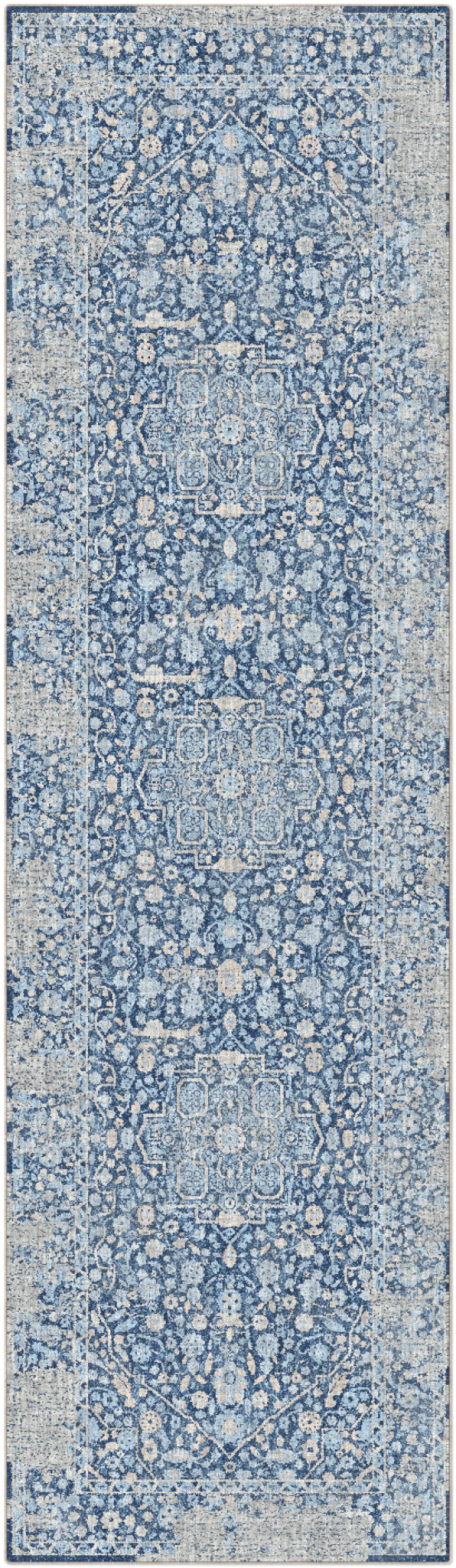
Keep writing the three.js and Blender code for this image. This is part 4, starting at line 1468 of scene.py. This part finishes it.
def noise(tree, scale, detail=2.0, stretch=(1, 1, 1)):
    """A noise texture in the rug's own space; scale is in features per metre."""
    place = tree.nodes.new("ShaderNodeTexCoord")
    mapping = tree.nodes.new("ShaderNodeMapping")
    mapping.inputs["Scale"].default_value = stretch
    texture = tree.nodes.new("ShaderNodeTexNoise")
    texture.inputs["Scale"].default_value = scale
    texture.inputs["Detail"].default_value = detail
    tree.links.new(place.outputs["Object"], mapping.inputs["Vector"])
    tree.links.new(mapping.outputs["Vector"], texture.inputs["Vector"])
    return texture.outputs["Fac"]


def ramp(tree, value, stops):
    """Colours along a value, from stops of (position, screen colour)."""
    node = tree.nodes.new("ShaderNodeValToRGB")
    elements = node.color_ramp.elements
    while len(elements) < len(stops):
        elements.new(0.5)
    for element, (position, colour) in zip(elements, stops):
        element.position = position
        element.color = (*linear(colour), 1)
    tree.links.new(value, node.inputs["Fac"])
    return node.outputs["Color"]


def mix(tree, mode, share, first, second):
    """A node that mixes two colours."""
    node = tree.nodes.new("ShaderNodeMix")
    node.data_type = "RGBA"
    node.blend_type = mode
    node.inputs["Factor"].default_value = share
    tree.links.new(first, node.inputs["A"])
    tree.links.new(second, node.inputs["B"])
    return node.outputs["Result"]


def bump(tree, principled, height, distance):
    """Join a height to the shader, as a bump of this distance."""
    node = tree.nodes.new("ShaderNodeBump")
    node.inputs["Distance"].default_value = distance
    node.inputs["Strength"].default_value = 1.0
    tree.links.new(height, node.inputs["Height"])
    tree.links.new(node.outputs["Normal"], principled.inputs["Normal"])


def pile_material():
    """Soft cut yarn: the woven colours, with each fibre bundle a little lighter or darker."""
    material, tree, principled = new_material("pile_yarn", 0.95, sheen=0.08)
    yarn = tree.nodes.new("ShaderNodeAttribute")
    yarn.attribute_name = "yarn_colour"
    fibres = noise(tree, 620, 3.0)
    heather = ramp(tree, fibres, [(0.3, (0.80, 0.80, 0.81)), (0.5, (0.93, 0.93, 0.93)),
                                  (0.7, (1.0, 1.0, 1.0))])
    colour = mix(tree, "MULTIPLY", 1.0, yarn.outputs["Color"], heather)
    tree.links.new(colour, principled.inputs["Base Color"])
    bump(tree, principled, noise(tree, 900, 2.0), 0.35 * MM)
    return material


def thread_material(name, light, dark, scale, stretch=(1, 1, 1), ribs=False):
    """Spun thread: two shades of one colour, drawn out along the fibres; painted shade between ribs.
    """
    material, tree, principled = new_material(name, 0.9, sheen=0.1)
    fibres = noise(tree, scale, 3.0, stretch)
    tone = noise(tree, 14, 1.0)
    shade = ramp(tree, fibres, [(0.32, dark), (0.62, light)])
    drift = ramp(tree, tone, [(0.35, (0.92, 0.91, 0.90)), (0.65, (1, 1, 1))])
    colour = mix(tree, "MULTIPLY", 1.0, shade, drift)
    if ribs:
        # painted shade: the colour is darkened in the valleys between the ribs
        crest = tree.nodes.new("ShaderNodeAttribute")
        crest.attribute_name = "crest"
        depth = ramp(tree, crest.outputs["Fac"], [(0.1, (0.62, 0.60, 0.57)), (0.7, (1, 1, 1))])
        colour = mix(tree, "MULTIPLY", 1.0, colour, depth)
    tree.links.new(colour, principled.inputs["Base Color"])
    bump(tree, principled, fibres, 0.15 * MM)
    return material


def label_material():
    """Bleached satin tape with a fine plain weave, its hollows painted darker as shade."""
    material, tree, principled = new_material("label_tape", 0.55, sheen=0.05)
    place = tree.nodes.new("ShaderNodeTexCoord")
    heights = []
    for direction in ("X", "Y"):
        threads = tree.nodes.new("ShaderNodeTexWave")
        threads.bands_direction = direction
        threads.inputs["Scale"].default_value = 620
        threads.inputs["Distortion"].default_value = 0.6
        tree.links.new(place.outputs["Object"], threads.inputs["Vector"])
        heights.append(threads.outputs["Color"])
    weave = mix(tree, "ADD", 0.5, heights[0], heights[1])
    # painted shade: the colour is darker where the weave is low
    shade = ramp(tree, weave, [(0.2, (0.86, 0.85, 0.83)), (0.9, (0.96, 0.955, 0.94))])
    tree.links.new(shade, principled.inputs["Base Color"])
    bump(tree, principled, weave, 0.05 * MM)
    return material


def floor_material():
    """The floor's nearly white colour, very slightly uneven."""
    material, tree, principled = new_material("studio_floor", 0.9)
    grain = noise(tree, 3, 2.0)
    shade = ramp(tree, grain, [(0.3, (0.975, 0.975, 0.975)), (0.7, (0.985, 0.985, 0.985))])
    tree.links.new(shade, principled.inputs["Base Color"])
    return material


# ---------------------------------------------------------------- the rug

def add_piece(piece, material, slot, *nodes):
    """Give a piece its material and say which CAD nodes it replaces; slot is not used."""
    piece.data.materials.append(material)
    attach(piece, "root")
    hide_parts(*nodes)
    return piece


def build_rug():
    """Every piece of the rug, each with its material."""
    pile = add_piece(pile_sheet(), pile_material(), "pile_yarn", "pile")
    # the jute and the cotton get painted shade in the valleys between their ribs
    jute = thread_material("jute_weft", (0.80, 0.74, 0.62), (0.64, 0.56, 0.44), 900,
                           stretch=(0.35, 1, 1), ribs=True)
    cotton = thread_material("cotton_warp", (0.86, 0.83, 0.76), (0.66, 0.62, 0.54), 500,
                             stretch=(1, 0.35, 1), ribs=True)
    upper = add_piece(ribbed_sheet("upper_wefts", "upper_weft_shots", 2.6 * MM, "x", 30 * MM,
                                   0.2 * MM, 71), jute, "weft_yarn", "upper_weft_shots")
    stuffers = add_piece(ribbed_sheet("stuffers", "stuffer_warps", 3.0 * MM, "y", 30 * MM,
                                      0.2 * MM, 72), cotton, "stuffer_yarn", "stuffer_warps")
    lower = add_piece(ribbed_sheet("lower_wefts", "lower_weft_shots", 2.6 * MM, "x", 14 * MM,
                                   0.25 * MM, 73), jute, "weft_yarn", "lower_weft_shots")
    serging_yarn = thread_material("serging_yarn", (0.93, 0.90, 0.87), (0.80, 0.74, 0.70), 700)
    cord_yarn = thread_material("cord_yarn", (0.82, 0.79, 0.70), (0.62, 0.58, 0.50), 600)
    routes = {"side_right": side_route(1), "side_left": side_route(-1),
              "end_head": end_route(1), "end_foot": end_route(-1)}
    for seed, (place, route) in enumerate(routes.items()):
        first, last = place.split("_")
        add_piece(overcast(f"serging_{place}", route, 80 + seed), serging_yarn, "serging_yarn",
                  f"{first}_serging_{last}")
        add_piece(twisted_cord(f"cord_{place}", route), cord_yarn, "core_cord",
                  f"{first}_cord_{last}")
    label = add_piece(label_cloth(), label_material(), "label_cloth", "care_label")
    thread = thread_material("label_thread", (0.96, 0.95, 0.93), (0.84, 0.83, 0.80), 1500)
    for place in ("inner", "outer"):
        add_piece(stitch_row(f"stitches_{place}", f"label_seam_{place}"), thread, "label_thread",
                  f"label_seam_{place}")


# ---------------------------------------------------------------- the studio

def build_studio():
    """The floor under the rug and the light."""
    reach = 150.0
    steps = np.linspace(-reach, reach, 7)
    x, y = np.meshgrid(steps, steps)
    points = np.stack([x, y, np.full_like(x, -0.1 * MM)], -1).reshape(-1, 3)
    floor = new_object("studio_floor", points, grid_faces(*x.shape))
    floor.data.materials.append(floor_material())
    world = bpy.data.worlds.new("studio_light")
    bpy.context.scene.world = world
    world.use_nodes = True
    background = world.node_tree.nodes["Background"]
    background.inputs["Color"].default_value = (1, 1, 1, 1)
    background.inputs["Strength"].default_value = 0.8
    light = bpy.data.lights.new("key", "SUN")
    light.energy = 1.3
    light.angle = math.radians(25)
    key = bpy.data.objects.new("key", light)
    key.rotation_euler = Vector((-0.55, 0.75, 1.0)).to_track_quat("Z", "Y").to_euler()
    bpy.context.scene.collection.objects.link(key)
    bpy.context.scene.view_settings.view_transform = "Standard"


# The whole length of the rug fills all but a thin margin of the picture's long side
IMAGE_LENGTH = 2397.5 * MM
LENS = 120.0
SENSOR = 36.0


def build_camera():
    """A camera straight above, which sees IMAGE_LENGTH along its longer side."""
    camera = bpy.data.cameras.new("above")
    camera.lens = LENS
    camera.sensor_width = SENSOR
    camera.sensor_fit = "AUTO"
    camera.clip_end = 500
    eye = bpy.data.objects.new("above", camera)
    eye.location = (0, 0, cad_high.z + IMAGE_LENGTH * LENS / SENSOR)
    bpy.context.scene.collection.objects.link(eye)
    bpy.context.scene.camera = eye


build_studio()
build_camera()
build_rug()
